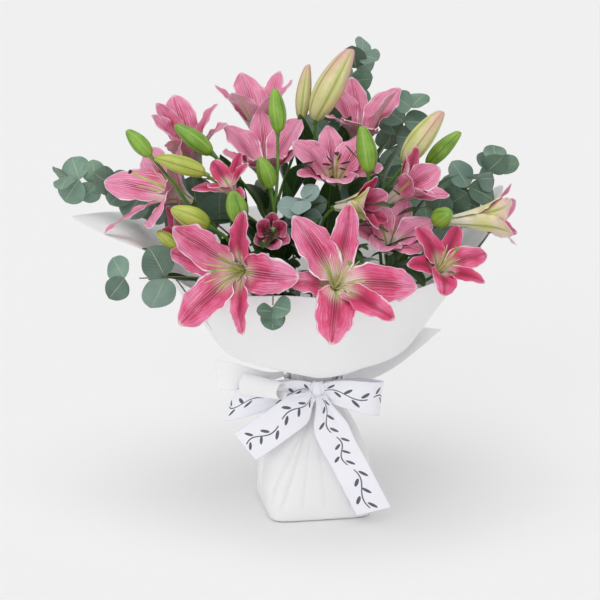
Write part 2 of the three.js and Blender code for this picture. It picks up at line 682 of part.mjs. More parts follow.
function tieGeometry() {
  const outer = TIE_INSIDE + TIE_THICKNESS;
  const low = TIE_HEIGHT - TIE_WIDTH / 2;
  const high = TIE_HEIGHT + TIE_WIDTH / 2;
  return turned([
    [TIE_INSIDE, low], [outer, low], [outer + TIE_BULGE, TIE_HEIGHT], [outer, high], [TIE_INSIDE, high],
    [TIE_INSIDE, low],
  ], 18);
}

// ---- Ribbon ----
const BAND_INSIDE = NECK_RADIUS + FOOT_WALL + GAP;
const BAND_LOW = TIE_HEIGHT - 29;
const BAND_HIGH = TIE_HEIGHT - 5;
const KNOT = vec(4, -(BAND_INSIDE + RIBBON_THICKNESS + GAP + 6.2), TIE_HEIGHT - 12);

function bandGeometry() {
  const outer = BAND_INSIDE + RIBBON_THICKNESS;
  const corners = [
    [BAND_INSIDE, BAND_LOW], [outer, BAND_LOW], [outer, BAND_HIGH], [BAND_INSIDE, BAND_HIGH],
  ];
  return turned([...corners, corners[0]], 28);
}

const PINCH = 0.34; // how narrow a ribbon is in the knot
const halfWidth = (open) => (RIBBON_WIDTH / 2) * mix(PINCH, 1, open);
const pinchBoth = (s) => halfWidth(pow(sin(PI * s), 0.5));
const pinchStart = (s) => halfWidth(smooth(s / 0.3));

// A ribbon along points given from the knot, its width standing along edge.
function ribbonGeometry(points, edge, half, rows = 12) {
  const path = points.map((p) => KNOT.clone().add(vec(...p)));
  return stripGeometry(path, edge, half, rows, RIBBON_THICKNESS);
}

// How far the tails hang in front of the knot, clear of the loops and of the foot.
const HANG = max(36, FOOT_WIDTH / 2 - NECK_RADIUS + 2);

const RIBBONS = {
  ribbon_loop_right: () =>
    ribbonGeometry(
      [[12, -2, 1], [36, -14, 0], [70, -14, -6], [84, 2, -10], [64, 10, -8], [36, 6, -3], [12, 3, -1]],
      vec(0.12, 0, 1), pinchBoth,
    ),
  ribbon_loop_left: () =>
    ribbonGeometry(
      [
        [-12, 0, 1], [-40, -12, 0], [-86, -10, -12], [-112, 4, -20],
        [-84, 12, -14], [-44, 8, -4], [-12, 5, -1],
      ],
      vec(0.35, 0, 1), pinchBoth,
    ),
  ribbon_tail_left: () =>
    ribbonGeometry(
      [[-9, -8, -6], [-30, 12 - HANG, -22], [-64, 6 - HANG, -46], [-92, 6 - HANG, -66]],
      vec(0.6, 0, -0.8), pinchStart, 6,
    ),
  ribbon_tail_right: () =>
    ribbonGeometry(
      [[8, -8, -8], [22, 6 - HANG, -50], [44, -HANG, -92], [74, 2 - HANG, -152]],
      vec(0.97, 0, 0.24), pinchStart, 7,
    ),
};

const KNOT_HALF = [11, 5.6, 13]; // half its width, depth and height
const knotGeometry = () => new THREE.SphereGeometry(1, 10, 7).scale(...KNOT_HALF);

// ---- Assembly ----
const bunch = new THREE.Group();

bunch.add(named("foot_wrap", footGeometry(), PAPER_WHITE));
const holes = [
  ...Object.values(LILY_STEMS).map(({ bearing }) => stemHole(bearing, LILY_RING, STEM_RADIUS)),
  ...Object.values(TWIGS).map(({ bearing }) => stemHole(bearing, TWIG_RING, TWIG_RADIUS)),
];
bunch.add(named("water_bag", waterGeometry(holes), WATER));
bunch.add(named("twine_tie", tieGeometry(), TWINE));

for (const [name, stem] of Object.entries(LILY_STEMS))
  bunch.add(named(name, stemGeometry(stem), STEM_GREEN));
for (const [name, twig] of Object.entries(TWIGS))
  bunch.add(named(name, twigGeometry(twig), GUM_GREEN));

for (const [name, bloom] of Object.entries(BLOOMS)) {
  const material = bloom.open > 45 ? PINK : PALE_PINK;
  const place = [fromTie(bloom.at), aimed(...bloom.aim, bloom.roll)];
  bunch.add(named(`bloom_${name}`, bloomGeometry(bloom), material, ...place));
  if (STAMENS[name])
    bunch.add(named(`stamens_${name}`, stamensGeometry(STAMENS[name]), STAMEN_GREEN, ...place));
}
for (const [name, bud] of Object.entries(BUDS))
  bunch.add(named(name, budGeometry(bud), bud.material, fromTie(bud.at), aimed(...bud.aim)));

for (const [name, sheet] of Object.entries(SHEETS))
  bunch.add(named(name, wrapGeometry(sheet), PAPER_WHITE));
bunch.add(named("wrap_lower_right", flapGeometry(), PAPER_WHITE));
bunch.add(named("wrap_frill_left", frillGeometry(), PAPER_WHITE));

bunch.add(named("ribbon_band", bandGeometry(), SATIN_WHITE));
bunch.add(named("ribbon_knot", knotGeometry(), SATIN_WHITE, KNOT));
for (const [name, make] of Object.entries(RIBBONS)) bunch.add(named(name, make(), SATIN_WHITE));

export default bunch;
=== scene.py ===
# %% [markdown]
# # A wrapped bunch of lilies
# The bunch stands by itself. Its cut stems sit in a small water bag, white non-woven paper is folded
# round the bag as a foot and round the flowers as a bowl, and a satin ribbon is tied at the neck.
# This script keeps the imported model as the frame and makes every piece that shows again, with the
# curves, folds, veins and colours of the real ones. Everything is in metres, +Z up, front towards -Y.

from math import cos, pi, radians, sin

import bpy
import numpy as np
from mathutils import Matrix, Vector


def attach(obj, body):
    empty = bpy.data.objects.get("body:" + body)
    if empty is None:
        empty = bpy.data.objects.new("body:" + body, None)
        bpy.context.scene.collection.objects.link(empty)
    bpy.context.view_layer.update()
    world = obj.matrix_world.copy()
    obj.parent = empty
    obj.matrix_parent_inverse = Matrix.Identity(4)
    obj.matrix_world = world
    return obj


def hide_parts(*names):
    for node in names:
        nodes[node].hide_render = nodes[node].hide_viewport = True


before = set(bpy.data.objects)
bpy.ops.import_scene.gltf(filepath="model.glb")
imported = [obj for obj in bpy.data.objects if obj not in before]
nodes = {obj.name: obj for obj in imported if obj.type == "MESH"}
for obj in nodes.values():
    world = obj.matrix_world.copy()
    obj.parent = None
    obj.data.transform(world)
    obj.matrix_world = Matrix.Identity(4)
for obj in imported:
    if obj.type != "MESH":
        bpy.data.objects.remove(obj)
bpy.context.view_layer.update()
random = np.random.default_rng(7)
print("frame:", len(nodes), "nodes")

# %% [markdown]
# ## Where things are
# Bearings are degrees in plan: 0 is the front, 90 the right. Lifts are degrees above the horizontal.
# The binding point is where the tie holds the stems, and most places are given from there, in
# millimetres, as on the designer's sheet.

# %% Places
MM = 0.001
TIE_HEIGHT = 0.182  # the binding point above the table
NECK_RADIUS = 0.036
PAPER_STEP = 0.0026  # from one wrapping sheet to the next inside it


def heading(bearing, lift=0.0):
    """The unit vector at a bearing and a lift."""
    b, e = radians(bearing), radians(lift)
    return Vector((sin(b) * cos(e), -cos(b) * cos(e), sin(e)))


def from_tie(x, y, z):
    """A point given in millimetres from the binding point."""
    return Vector((x * MM, y * MM, z * MM + TIE_HEIGHT))


def aimed(at, bearing, lift, roll=0.0):
    """The placing that puts local Z along a bearing and lift, after a roll about it."""
    z = heading(bearing, lift)
    x = Vector((cos(radians(bearing)), sin(radians(bearing)), 0))
    turn = Matrix((x, z.cross(x), z)).transposed().to_4x4()
    return Matrix.Translation(at) @ turn @ Matrix.Rotation(radians(roll), 4, "Z")


def smooth(x):
    """0 below 0, 1 above 1, and an S-curve between."""
    x = np.clip(x, 0, 1)
    return x * x * (3 - 2 * x)


def mix(a, b, share):
    return a + (b - a) * share


print("binding point at", TIE_HEIGHT, "m")

# %% [markdown]
# ## Camera, floor and light
# The bunch was looked at from a little above its middle with a long lens, so it hardly tapers. The
# floor is a very large pale sheet, as a studio's paper sweep is. Most of the light comes from all
# round, and two broad, soft suns a little left of the front, one high and one low, shape the petals.

# %% Camera
VIEW_LIFT = 13.5  # degrees above the horizontal
VIEW_DISTANCE = 2.5
TARGET = Vector((-0.0175, 0, 0.280))
VIEW_WIDTH = 0.78  # what the picture spans at the target

camera_data = bpy.data.cameras.new("camera")
camera_data.sensor_width = 36
camera_data.lens = 36 * VIEW_DISTANCE / VIEW_WIDTH
camera = bpy.data.objects.new("camera", camera_data)
bpy.context.scene.collection.objects.link(camera)
away = Vector((0, -cos(radians(VIEW_LIFT)), sin(radians(VIEW_LIFT))))
camera.location = TARGET + away * VIEW_DISTANCE
camera.rotation_euler = (radians(90 - VIEW_LIFT), 0, 0)
bpy.context.scene.camera = camera
bpy.context.scene.view_settings.view_transform = "Standard"
print("lens", round(camera_data.lens, 1), "mm")

# %% Light
world = bpy.data.worlds.new("studio")
bpy.context.scene.world = world
world.use_nodes = True
world.node_tree.nodes["Background"].inputs["Color"].default_value = (1, 1, 1, 1)
world.node_tree.nodes["Background"].inputs["Strength"].default_value = 0.66


def sun(name, strength, angle, bearing, lift):
    """A far soft light that shines from a bearing and lift."""
    data = bpy.data.lights.new(name, "SUN")
    data.energy = strength
    data.angle = radians(angle)
    lamp = bpy.data.objects.new(name, data)
    lamp.rotation_euler = heading(bearing, lift).to_track_quat("Z", "Y").to_euler()
    bpy.context.scene.collection.objects.link(lamp)


sun("key", 0.95, 50, -14, 70)
sun("fill", 0.72, 50, -16, 16)

# %% [markdown]
# ## Helpers for meshes
# Petals, leaves, paper and ribbon are all thin blades. One flat grid is made with the grid operator,
# and each blade is a copy of it whose points are laid on a surface. The grid keeps its UV map, so a
# material knows how far across (U) and along (V) each point is. The finished piece gets its thickness
# and its smoothness from modifiers that are applied.

# %% Mesh helpers


def deselect():
    for o in list(bpy.context.selected_objects):
        o.select_set(False)


def select_only(objects, active=None):
    deselect()
    for o in objects:
        o.select_set(True)
    bpy.context.view_layer.objects.active = active or objects[0]


def apply_modifiers(obj):
    select_only([obj])
    for modifier in list(obj.modifiers):
        bpy.ops.object.modifier_apply(modifier=modifier.name)


def join(objects, name):
    """Joins pieces of one kind into one piece."""
    if len(objects) > 1:
        select_only(objects)
        bpy.ops.object.join()
    objects[0].name = name
    return objects[0]


def finish_piece(obj, slot, *replaced):
    """Puts a finished piece on the one body, in place of CAD nodes, with smooth shading."""
    for polygon in obj.data.polygons:
        polygon.use_smooth = True
    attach(obj, "root")
    if replaced:
        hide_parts(*replaced)
    return obj


grids = {}


def flat_grid(columns, rows):
    """A flat square of columns by rows faces, from -1 to 1 both ways. It is made once and kept."""
    if (columns, rows) not in grids:
        deselect()
        bpy.ops.mesh.primitive_grid_add(x_subdivisions=columns, y_subdivisions=rows, size=2)
        made = bpy.context.object
        grids[columns, rows] = made.data
        bpy.data.objects.remove(made)
    return grids[columns, rows]


def points_of(mesh):
    co = np.zeros(len(mesh.vertices) * 3)
    mesh.vertices.foreach_get("co", co)
    return co.reshape(-1, 3)


def blade(surface, columns, rows, materials, place=None, shades=None):
    """A grid laid on surface(s, t): s runs along from 0 to 1 and t across from -1 to 1.
    Its front, which the first material colours, faces d/dt x d/ds."""
    mesh = flat_grid(columns, rows).copy()
    flat = points_of(mesh)
    points = surface((flat[:, 1] + 1) / 2, flat[:, 0])
    mesh.vertices.foreach_set("co", np.asarray(points, float).ravel())
    if place is not None:
        mesh.transform(place)
    for name, value in (shades or {}).items():
        layer = mesh.attributes.new(name, "FLOAT", "POINT")
        layer.data.foreach_set("value", np.full(len(mesh.vertices), value))
    for material in materials:
        mesh.materials.append(material)
    mesh.update()
    obj = bpy.data.objects.new("blade", mesh)
    bpy.context.scene.collection.objects.link(obj)
    return obj


def thicken(obj, thickness, smoothing=1, back=0):
    """Gives a blade its thickness, then smooths it. The back's faces take the material back slots on."""
    solid = obj.modifiers.new("thickness", "SOLIDIFY")
    solid.thickness = thickness
    solid.offset = 0
    solid.material_offset = back
    solid.use_even_offset = False
    if smoothing:
        soft = obj.modifiers.new("smooth", "SUBSURF")
        soft.levels = soft.render_levels = smoothing
    apply_modifiers(obj)
    return obj


def rod(points, radii, material, sides=3):
    """A round rod through points: a curve with a bevel, turned into a mesh."""
    data = bpy.data.curves.new("rod", "CURVE")
    data.dimensions = "3D"
    data.bevel_depth = 1
    data.bevel_resolution = sides
    data.use_fill_caps = True
    data.resolution_u = 3
    spline = data.splines.new("NURBS")
    spline.points.add(len(points) - 1)
    radii = np.broadcast_to(radii, len(points))
    for knot, point, radius in zip(spline.points, points, radii):
        knot.co = (*point, 1)
        knot.radius = float(radius)
    spline.order_u = min(4, len(points))
    spline.use_endpoint_u = True
    obj = bpy.data.objects.new("rod", data)
    bpy.context.scene.collection.objects.link(obj)
    select_only([obj])
    bpy.ops.object.convert(target="MESH")
    obj = bpy.context.object
    obj.data.materials.clear()
    obj.data.materials.append(material)
    return obj


def through(points, s):
    """A smooth curve through points (Catmull-Rom), at shares s of the way along."""
    p = np.array([tuple(v) for v in points], float)
    p = np.vstack([2 * p[0] - p[1], p, 2 * p[-1] - p[-2]])
    x = np.clip(np.asarray(s, float), 0, 1) * (len(p) - 3)
    k = np.minimum(x.astype(int), len(p) - 4)
    u = (x - k)[:, None]
    a, b, c, d = (p[k + i] for i in range(4))
    return 0.5 * (2 * b + (c - a) * u + (2 * a - 5 * b + 4 * c - d) * u**2 + (3 * b - a - 3 * c + d) * u**3)


# %% [markdown]
# ## Writing materials as sums
# A socket is wrapped so that masks can be written as sums: `1 - mask * 0.5` adds its Math nodes. The
# `Finish` class starts a material with its Principled shader and adds any other node by its type.

# %% Shader helpers


def srgb(r, g, b):
    """A colour as seen on screen, from 0 to 255, as the linear colour that a shader needs."""
    return tuple(((c / 255 + 0.055) / 1.055) ** 2.4 if c > 10 else c / 255 / 12.92 for c in (r, g, b)) + (1,)


class Number:
    """A value socket that can be used in sums."""

    def __init__(self, finish, socket):
        self.finish = finish
        self.socket = socket

    def maths(self, operation, *values):
        return self.finish.node("ShaderNodeMath", {"operation": operation}, list(values))[0]

    def __add__(self, other):
        return self.maths("ADD", self, other)

    __radd__ = __add__

    def __sub__(self, other):
        return self.maths("SUBTRACT", self, other)

    def __rsub__(self, other):
        return self.maths("SUBTRACT", other, self)

    def __mul__(self, other):
        return self.maths("MULTIPLY", self, other)

    __rmul__ = __mul__

    def __truediv__(self, other):
        return self.maths("DIVIDE", self, other)

    def __pow__(self, other):
        return self.maths("POWER", self, other)

    def sine(self):
        return self.maths("SINE", self)

    def size(self):
        return self.maths("ABSOLUTE", self)

    def most(self, other):
        return self.maths("MAXIMUM", self, other)

    def rise(self, low, high):
        """0 below low, 1 above high, smooth between; the other way round if high is the lower."""
        settings = {"interpolation_type": "SMOOTHSTEP"}
        swap = high < low
        values = {"Value": self, "From Min": min(low, high), "From Max": max(low, high)}
        out = self.finish.node("ShaderNodeMapRange", settings, values)[0]
        return 1 - out if swap else out


class Finish:
    """A material with its Principled shader, and short ways to add nodes to it."""

    def __init__(self, name, **constants):
        self.material = bpy.data.materials.new(name)
        self.material.use_nodes = True
        self.tree = self.material.node_tree
        self.shader = self.tree.nodes["Principled BSDF"]
        self.set(**constants)

    def set(self, **values):
        """Sets the shader's inputs, named with _ for a space. A link or a number both do."""
        for name, value in values.items():
            self.feed(self.shader.inputs[name.replace("_", " ")], value)
        return self

    def feed(self, socket, value):
        if isinstance(value, Number):
            self.tree.links.new(value.socket, socket)
        else:
            socket.default_value = value

    def node(self, kind, settings=None, values=None):
        """Adds a node, sets it, feeds its sockets, and returns its outputs."""
        made = self.tree.nodes.new(kind)
        for key, value in (settings or {}).items():
            if key == "stops":
                ramp = made.color_ramp
                while len(ramp.elements) < len(value):
                    ramp.elements.new(0.5)
                for stop, (place, colour) in zip(ramp.elements, value):
                    stop.position = place
                    stop.color = colour
            else:
                setattr(made, key, value)
        pairs = enumerate(values) if isinstance(values, list) else (values or {}).items()
        for key, value in pairs:
            self.feed(made.inputs[key], value)
        return [Number(self, socket) for socket in made.outputs]

    def place(self):
        """The point in the object's own coordinates, in metres."""
        return self.node("ShaderNodeTexCoord")[3]

    def uv(self):
        """How far across and along the piece a point is, both from 0 to 1."""
        split = self.node("ShaderNodeSeparateXYZ", None, [self.node("ShaderNodeTexCoord")[2]])
        return split[0], split[1]

    def shade(self, name):
        return self.node("ShaderNodeAttribute", {"attribute_name": name})[2]

    def vector(self, x, y, z=0.0):
        return self.node("ShaderNodeCombineXYZ", None, [x, y, z])[0]

    def noise(self, scale, detail=3.0, vector=None):
        values = {"Vector": vector or self.place(), "Scale": scale, "Detail": detail}
        return self.node("ShaderNodeTexNoise", None, values)[0]

    def blend(self, share, a, b):
        """Colour a where share is 0 and b where it is 1."""
        return self.node("ShaderNodeMix", {"data_type": "RGBA"}, {0: share, 6: a, 7: b})[2]

    def ramp(self, value, stops):
        return self.node("ShaderNodeValToRGB", {"stops": stops}, [value])[0]

    def bump(self, height, distance, strength=1.0):
        values = {"Height": height, "Distance": distance, "Strength": strength}
        return self.set(Normal=self.node("ShaderNodeBump", None, values)[0])


print("helpers ready")

# %% [markdown]
# ## Petal finishes
# A lily petal is not one pink. Its throat is cream and green, a deep pink band runs along the middle
# on both sides of a pale groove, the pink pales towards a white, crimped margin, and fine darker veins
# run the whole length. The back is paler and waxy, with a green-cream keel. U is across the petal and
# V along it, so all of this is drawn in the petal's own UV map.

# %% Petal finishes


def petal_finish(name, deep, rich, soft, margin, line, back=False):
    """One side of a petal. The shade named blush makes a petal paler, from 0 to 1."""
    f = Finish(name, Roughness=0.5, Subsurface_Weight=0.12, Subsurface_Scale=0.004)
    f.set(Subsurface_Radius=(1.0, 0.35, 0.4))
    u, v = f.uv()
    blotch = f.noise(30.0, 5.0)
    streaks = f.noise(1.0, 5.0, f.vector(u * 26, v * 3.0, blotch * 3))
    blush = f.shade("blush")
    off = (u - 0.5).size() * 2
    uneven = (blotch - 0.5) * 1.5 + (streaks - 0.5) * 1.0
    body = f.blend((off * 0.7 + v * 0.3 + uneven * 0.5 + blush * 0.5).rise(0.1, 0.75), deep, rich)
    body = f.blend(((v - 0.45) * 0.5 + off * 0.35 + uneven + blush * 0.75).rise(0.15, 0.85) * 0.9, body, soft)
    edge = (off + (streaks - 0.5) * 0.5 + (blotch - 0.5) * 0.4).rise(0.84, 1.0)
    edge = edge.most((v + (streaks - 0.5) * 0.1).rise(0.95, 1.0))
    body = f.blend(edge * 0.85, body, margin)
    # Paler silvery-pink streaks on the paler petals: partly the petal's own pale mottling, partly a painted
    # sheen.
    body = f.blend(blush * streaks.rise(0.42, 0.7) * 0.6, body, srgb(244, 212, 224))
    throat = (v + (streaks - 0.5) * 0.24 + off * 0.12).rise(0.56, 0.24)
    body = f.blend(throat * 0.92, body, srgb(246, 236, 222))
    fine = (u * 96 + blotch * 2.5).sine() * 0.5 + 0.5
    body = f.blend(fine**4 * 0.42 * v.rise(0.05, 0.3), body, deep)
    beside = (off - 0.05).size().rise(0.045, 0.015).most((off - 0.16).size().rise(0.04, 0.012) * 0.7)
    if back:
        body = f.blend(off.rise(0.16, 0.04) * v.rise(1.0, 0.7) * 0.75, body, line)
    else:
        body = f.blend(beside * v.rise(0.97, 0.6) * v.rise(0.05, 0.25) * 0.85, body, line)
        nectary = off.rise(0.2, 0.06) * v.rise(0.46, 0.26)
        body = f.blend(nectary * 0.85, body, srgb(150, 184, 62))
    f.set(Base_Color=body)
    groove = off.rise(0.1, 0.0)
    f.bump(fine * 0.4 + groove * (0.9 if back else -1.0) + streaks * 0.8 + blotch * 0.6, 0.0008, 0.6)
    return f.material


petal_face = petal_finish(
    "petal_face",
    srgb(168, 22, 72), srgb(214, 62, 116), srgb(230, 144, 180), srgb(250, 238, 242), srgb(128, 16, 58),
)
petal_back = petal_finish(
    "petal_back",
    srgb(196, 70, 114), srgb(220, 118, 154), srgb(236, 180, 200), srgb(246, 226, 232), srgb(186, 182, 100),
    back=True,
)
young_back = petal_finish(
    "young_back",
    srgb(196, 196, 104), srgb(226, 222, 158), srgb(240, 214, 206), srgb(246, 232, 232), srgb(140, 168, 62),
    back=True,
)

# %% [markdown]
# ## Petals and flowers
# Every petal of a flower lies on one trumpet, which opens from a narrow claw. Three broad inner petals
# close the trumpet and three narrower outer ones lie over their seams, a little further out. Each
# petal is a grid laid on that trumpet, with a groove down the middle and a crimped margin.

# %% Petal shape
CLAW = 9  # degrees from the flower's axis at which a petal starts
PETAL_BASE = 3.4 * MM
PETAL_STEP = 2.2 * MM  # from the inner petals out to the outer ones
PETAL_SEAM = radians(54)
PETAL_TIP = 1.2 * MM


def petal_surface(length, width, open, curl, sway, step, crimp, phase):
    """The petal's surface: open is its angle from the axis at mid length, curl what the tip adds."""
    steps = np.linspace(0, 1, 61)

    def angle(s):
        tip = curl * np.clip((s - 0.4) / 0.6, 0, 1) ** 1.4
        return np.radians(CLAW + (open - CLAW) * smooth(s / 0.45) + tip)

    middle = angle((steps[1:] + steps[:-1]) / 2)
    r_line = PETAL_BASE + length * np.concatenate([[0], np.cumsum(np.sin(middle)) / 60])
    z_line = length * np.concatenate([[0], np.cumsum(np.cos(middle)) / 60])

    def surface(s, t):
        a = angle(s)
        towards_tip = np.clip((s - 0.5) / 0.5, 0, 1)
        share = (0.3 + 0.7 * smooth(s / 0.5)) * (1 - towards_tip**2.4) ** 0.68
        ragged = 1 + 0.05 * np.sin(s * 29 + phase * t) * np.abs(t) ** 3 + 0.03 * np.sin(s * 61 + phase)
        half = np.maximum(PETAL_TIP, width / 2 * share * ragged)
        r = np.interp(s, steps, r_line) + step * np.cos(a)
        z = np.interp(s, steps, z_line) - step * np.sin(a)
        across = -t
        edge = np.abs(t) ** 2.5
        side = np.sign(t)
        waves = np.sin(s * 17 + phase + 2.2 * side) + 0.7 * np.sin(s * 37 + 2 * phase + side)
        waves = waves + 0.35 * np.sin(s * 71 + phase * side)
        lift = crimp * edge * waves * smooth((s - 0.1) / 0.25) * (1 - smooth((s - 0.95) / 0.05))
        twist = 0.16 * half * np.sin(phase * 3) * t * smooth((s - 0.4) / 0.6)
        lift = lift + twist
        groove = -1.1 * MM * np.exp(-((t / 0.13) ** 2)) * smooth(s / 0.2) * (1 - s)
        channel = 0.055 * half * (t * t - 0.4) * (1 - 2.2 * smooth((s - 0.35) / 0.5))
        out = lift + groove + channel
        round_it = across * np.minimum(half / r, PETAL_SEAM) + sway * s * s
        r = r - out * np.cos(a)
        z = z + out * np.sin(a)
        return np.stack([r * np.cos(round_it), r * np.sin(round_it), z], axis=1)

    return surface


def flower(name, at, aim, roll, length, width, open, curl, petals=None, blush=0.0, crimp=2.0,
           back=petal_back):
    """Six petals on a trumpet, joined and given their thickness. Sizes in millimetres and degrees."""
    place = aimed(from_tie(*at), *aim, roll)
    made = []
    for k in range(6):
        usual = {"length": 1, "width": 1, "open": 0, "curl": 0, "turn": 0, "sway": 0}
        own = {**usual, **(petals or {}).get(k, {})}
        inner = k % 2 == 0
        surface = petal_surface(
            length * own["length"] * (1 if inner else 1.02) * MM,
            width * own["width"] * (1 if inner else 0.68) * MM,
            open + own["open"] + (0 if inner else 3),
            curl + own["curl"],
            own["sway"],
            0 if inner else PETAL_STEP,
            crimp * (1 if inner else 0.7) * (width / 52) * MM,
            random.uniform(0, 6),
        )
        turn = Matrix.Rotation(radians(60 * k + own["turn"]), 4, "Z")
        detail = (12, 36) if length > 80 else (10, 24)
        own_blush = blush + random.uniform(-0.12, 0.16) - (0 if inner else 0.16)
        made.append(blade(surface, *detail, [petal_face, back], place @ turn, {"blush": own_blush}))
    piece = thicken(join(made, "lily_" + name), 0.75 * MM, 1, back=1)
    return finish_piece(piece, "petals_pink" if blush < 0.5 else "petals_pale", "bloom_" + name)


# %% [markdown]
# ### The sixteen flowers
# The two large open ones face the front, and the rest stand further in, half open, as buds that have
# just let go. Each stands where its frame solid does, and most have wider petals than that solid.

# %% Flowers
FLOWERS = {
    "front_left": dict(
        at=(-79, -165, 176), aim=(-37, 6), roll=3,
        length=112, width=52, open=61, curl=19, blush=0.2, crimp=3.0,
        petals={
            0: dict(open=20, curl=10), 1: dict(open=-7), 2: dict(open=-15, turn=13, curl=-14),
            3: dict(open=11, turn=-10, curl=9), 4: dict(open=-7, turn=-6, curl=-7),
            5: dict(open=-10, turn=6, curl=-6),
        },
    ),
    "front_right": dict(
        at=(22, -181, 153), aim=(15, 36), roll=3,
        length=112, width=52, open=65, curl=19, blush=0.2, crimp=3.0,
        petals={
            0: dict(open=13, turn=-13, curl=7), 1: dict(turn=12, curl=-4), 3: dict(open=-7, length=0.7),
            4: dict(open=4, turn=9), 5: dict(open=-13, curl=-8),
        },
    ),
    "right": dict(
        at=(149, -127, 161), aim=(29, 41), roll=0, length=72, width=38, open=52, curl=48, blush=0.0,
        petals={1: dict(turn=-7), 5: dict(open=-12, turn=5, curl=-10)},
    ),
    "left": dict(
        at=(-154, -46, 236), aim=(-78, 31), roll=-83, length=122, width=52, open=50, curl=23, blush=0.75,
        petals={
            0: dict(width=0.5), 1: dict(open=15, curl=10, width=1.5), 2: dict(open=-5, length=0.72),
            3: dict(length=0.68), 4: dict(turn=6, length=0.9),
            5: dict(open=-15, turn=-7, curl=-10, width=1.4),
        },
    ),
    "upper_left": dict(
        at=(-149, 38, 255), aim=(-34, 63), roll=-7, length=110, width=56, open=25, curl=23, blush=0.6,
        petals={
            0: dict(open=13, turn=11, curl=6), 1: dict(open=-10, turn=-16, curl=22), 2: dict(turn=17),
            3: dict(open=-16, curl=-11), 4: dict(open=-11, turn=-10, curl=-14),
        },
    ),
    "lower_left": dict(
        at=(-140, -68, 198), aim=(-78, 18), roll=30, length=60, width=40, open=34, curl=20, blush=0.1,
    ),
    "top_left": dict(
        at=(-68, 72, 285), aim=(-20, 78), roll=15, length=104, width=54, open=26, curl=14, blush=0.8,
    ),
    "small_left": dict(
        at=(-99, -112, 258), aim=(-31, 52), roll=27, length=54, width=24, open=47, curl=37, blush=0.0,
        petals={
            0: dict(open=-12, curl=-7), 2: dict(open=9, turn=-6, curl=11), 3: dict(open=9),
            4: dict(open=-17, curl=-11), 5: dict(open=9, curl=5),
        },
    ),
    "centre": dict(
        at=(-60, 4, 246), aim=(-5, 66), roll=40, length=100, width=58, open=34, curl=22, blush=0.9,
    ),
    "top_right": dict(
        at=(57, 42, 279), aim=(27, 75), roll=8, length=106, width=56, open=29, curl=22, blush=0.6,
        petals={
            1: dict(turn=13), 3: dict(open=8, turn=13, curl=20), 4: dict(open=16, turn=-15),
            5: dict(open=-14, curl=-15),
        },
    ),
    "centre_right": dict(
        at=(25, -41, 245), aim=(4, 60), roll=36, length=90, width=54, open=36, curl=40, blush=0.7,
    ),
    "small_front": dict(
        at=(-53, -118, 208), aim=(2, 16), roll=30, length=46, width=34, open=22, curl=14, blush=0.2,
    ),
    "mid_right": dict(
        at=(27, -100, 240), aim=(62, 8), roll=15,
        length=66, width=40, open=20, curl=30, blush=0.0, back=young_back,
    ),
    "upper_right": dict(
        at=(92, -68, 240), aim=(62, 38), roll=0, length=78, width=48, open=24, curl=26, blush=0.4,
    ),
    "far_right": dict(
        at=(168, -70, 216), aim=(80, 6), roll=20,
        length=92, width=46, open=13, curl=38, blush=0.5, back=young_back,
    ),
    "right_back": dict(
        at=(92, -90, 181), aim=(10, 55), roll=0, length=72, width=50, open=44, curl=30, blush=0.8,
    ),
}
for name, facts in FLOWERS.items():
    flower(name, **facts)
print("flowers:", len(FLOWERS))

# %% [markdown]
# ## Stamens and pistils
# Pale green filaments and a thicker style with a three-lobed stigma stand in each of six flowers. The
# florist has picked the anthers off the front ones, so that the pollen doesn't stain. Two flowers
# further in still have theirs, dark maroon. The rods are curves with a bevel, thinner at the tips.

# %% Filament finish
filament = Finish("filament", Roughness=0.42, Subsurface_Weight=0.1, Subsurface_Scale=0.003)
filament.set(
    Base_Color=filament.ramp(
        filament.noise(55.0, 2.0),
        [(0.3, srgb(176, 190, 92)), (0.55, srgb(208, 212, 140)), (0.75, srgb(228, 226, 176))],
    )
)
filament.bump(filament.noise(900.0, 2.0), 0.0003, 0.4)
stigma_green = Finish("stigma_green", Roughness=0.3)
stigma_green.set(
    Base_Color=stigma_green.blend(stigma_green.noise(300.0), srgb(74, 132, 52), srgb(128, 176, 84))
)
maroon = Finish("anther_maroon", Roughness=0.8, Sheen_Weight=0.3)
maroon.set(Base_Color=maroon.blend(maroon.noise(420.0, 4.0), srgb(44, 14, 20), srgb(92, 30, 38)))
maroon.bump(maroon.noise(900.0, 3.0), 0.0004, 0.8)

# %% Stamens


def knob(place, size, material, lobes=3):
    """A small lobed head: a round ball pinched between its lobes."""
    deselect()
    bpy.ops.mesh.primitive_uv_sphere_add(segments=18, ring_count=8, radius=1)
    obj = bpy.context.object
    co = points_of(obj.data)
    around = np.arctan2(co[:, 1], co[:, 0])
    co[:, :2] *= (0.8 + 0.2 * np.cos(lobes * around))[:, None]
    co *= np.array(size)
    obj.data.vertices.foreach_set("co", co.ravel())
    obj.data.transform(place)
    obj.data.materials.append(material)
    return obj


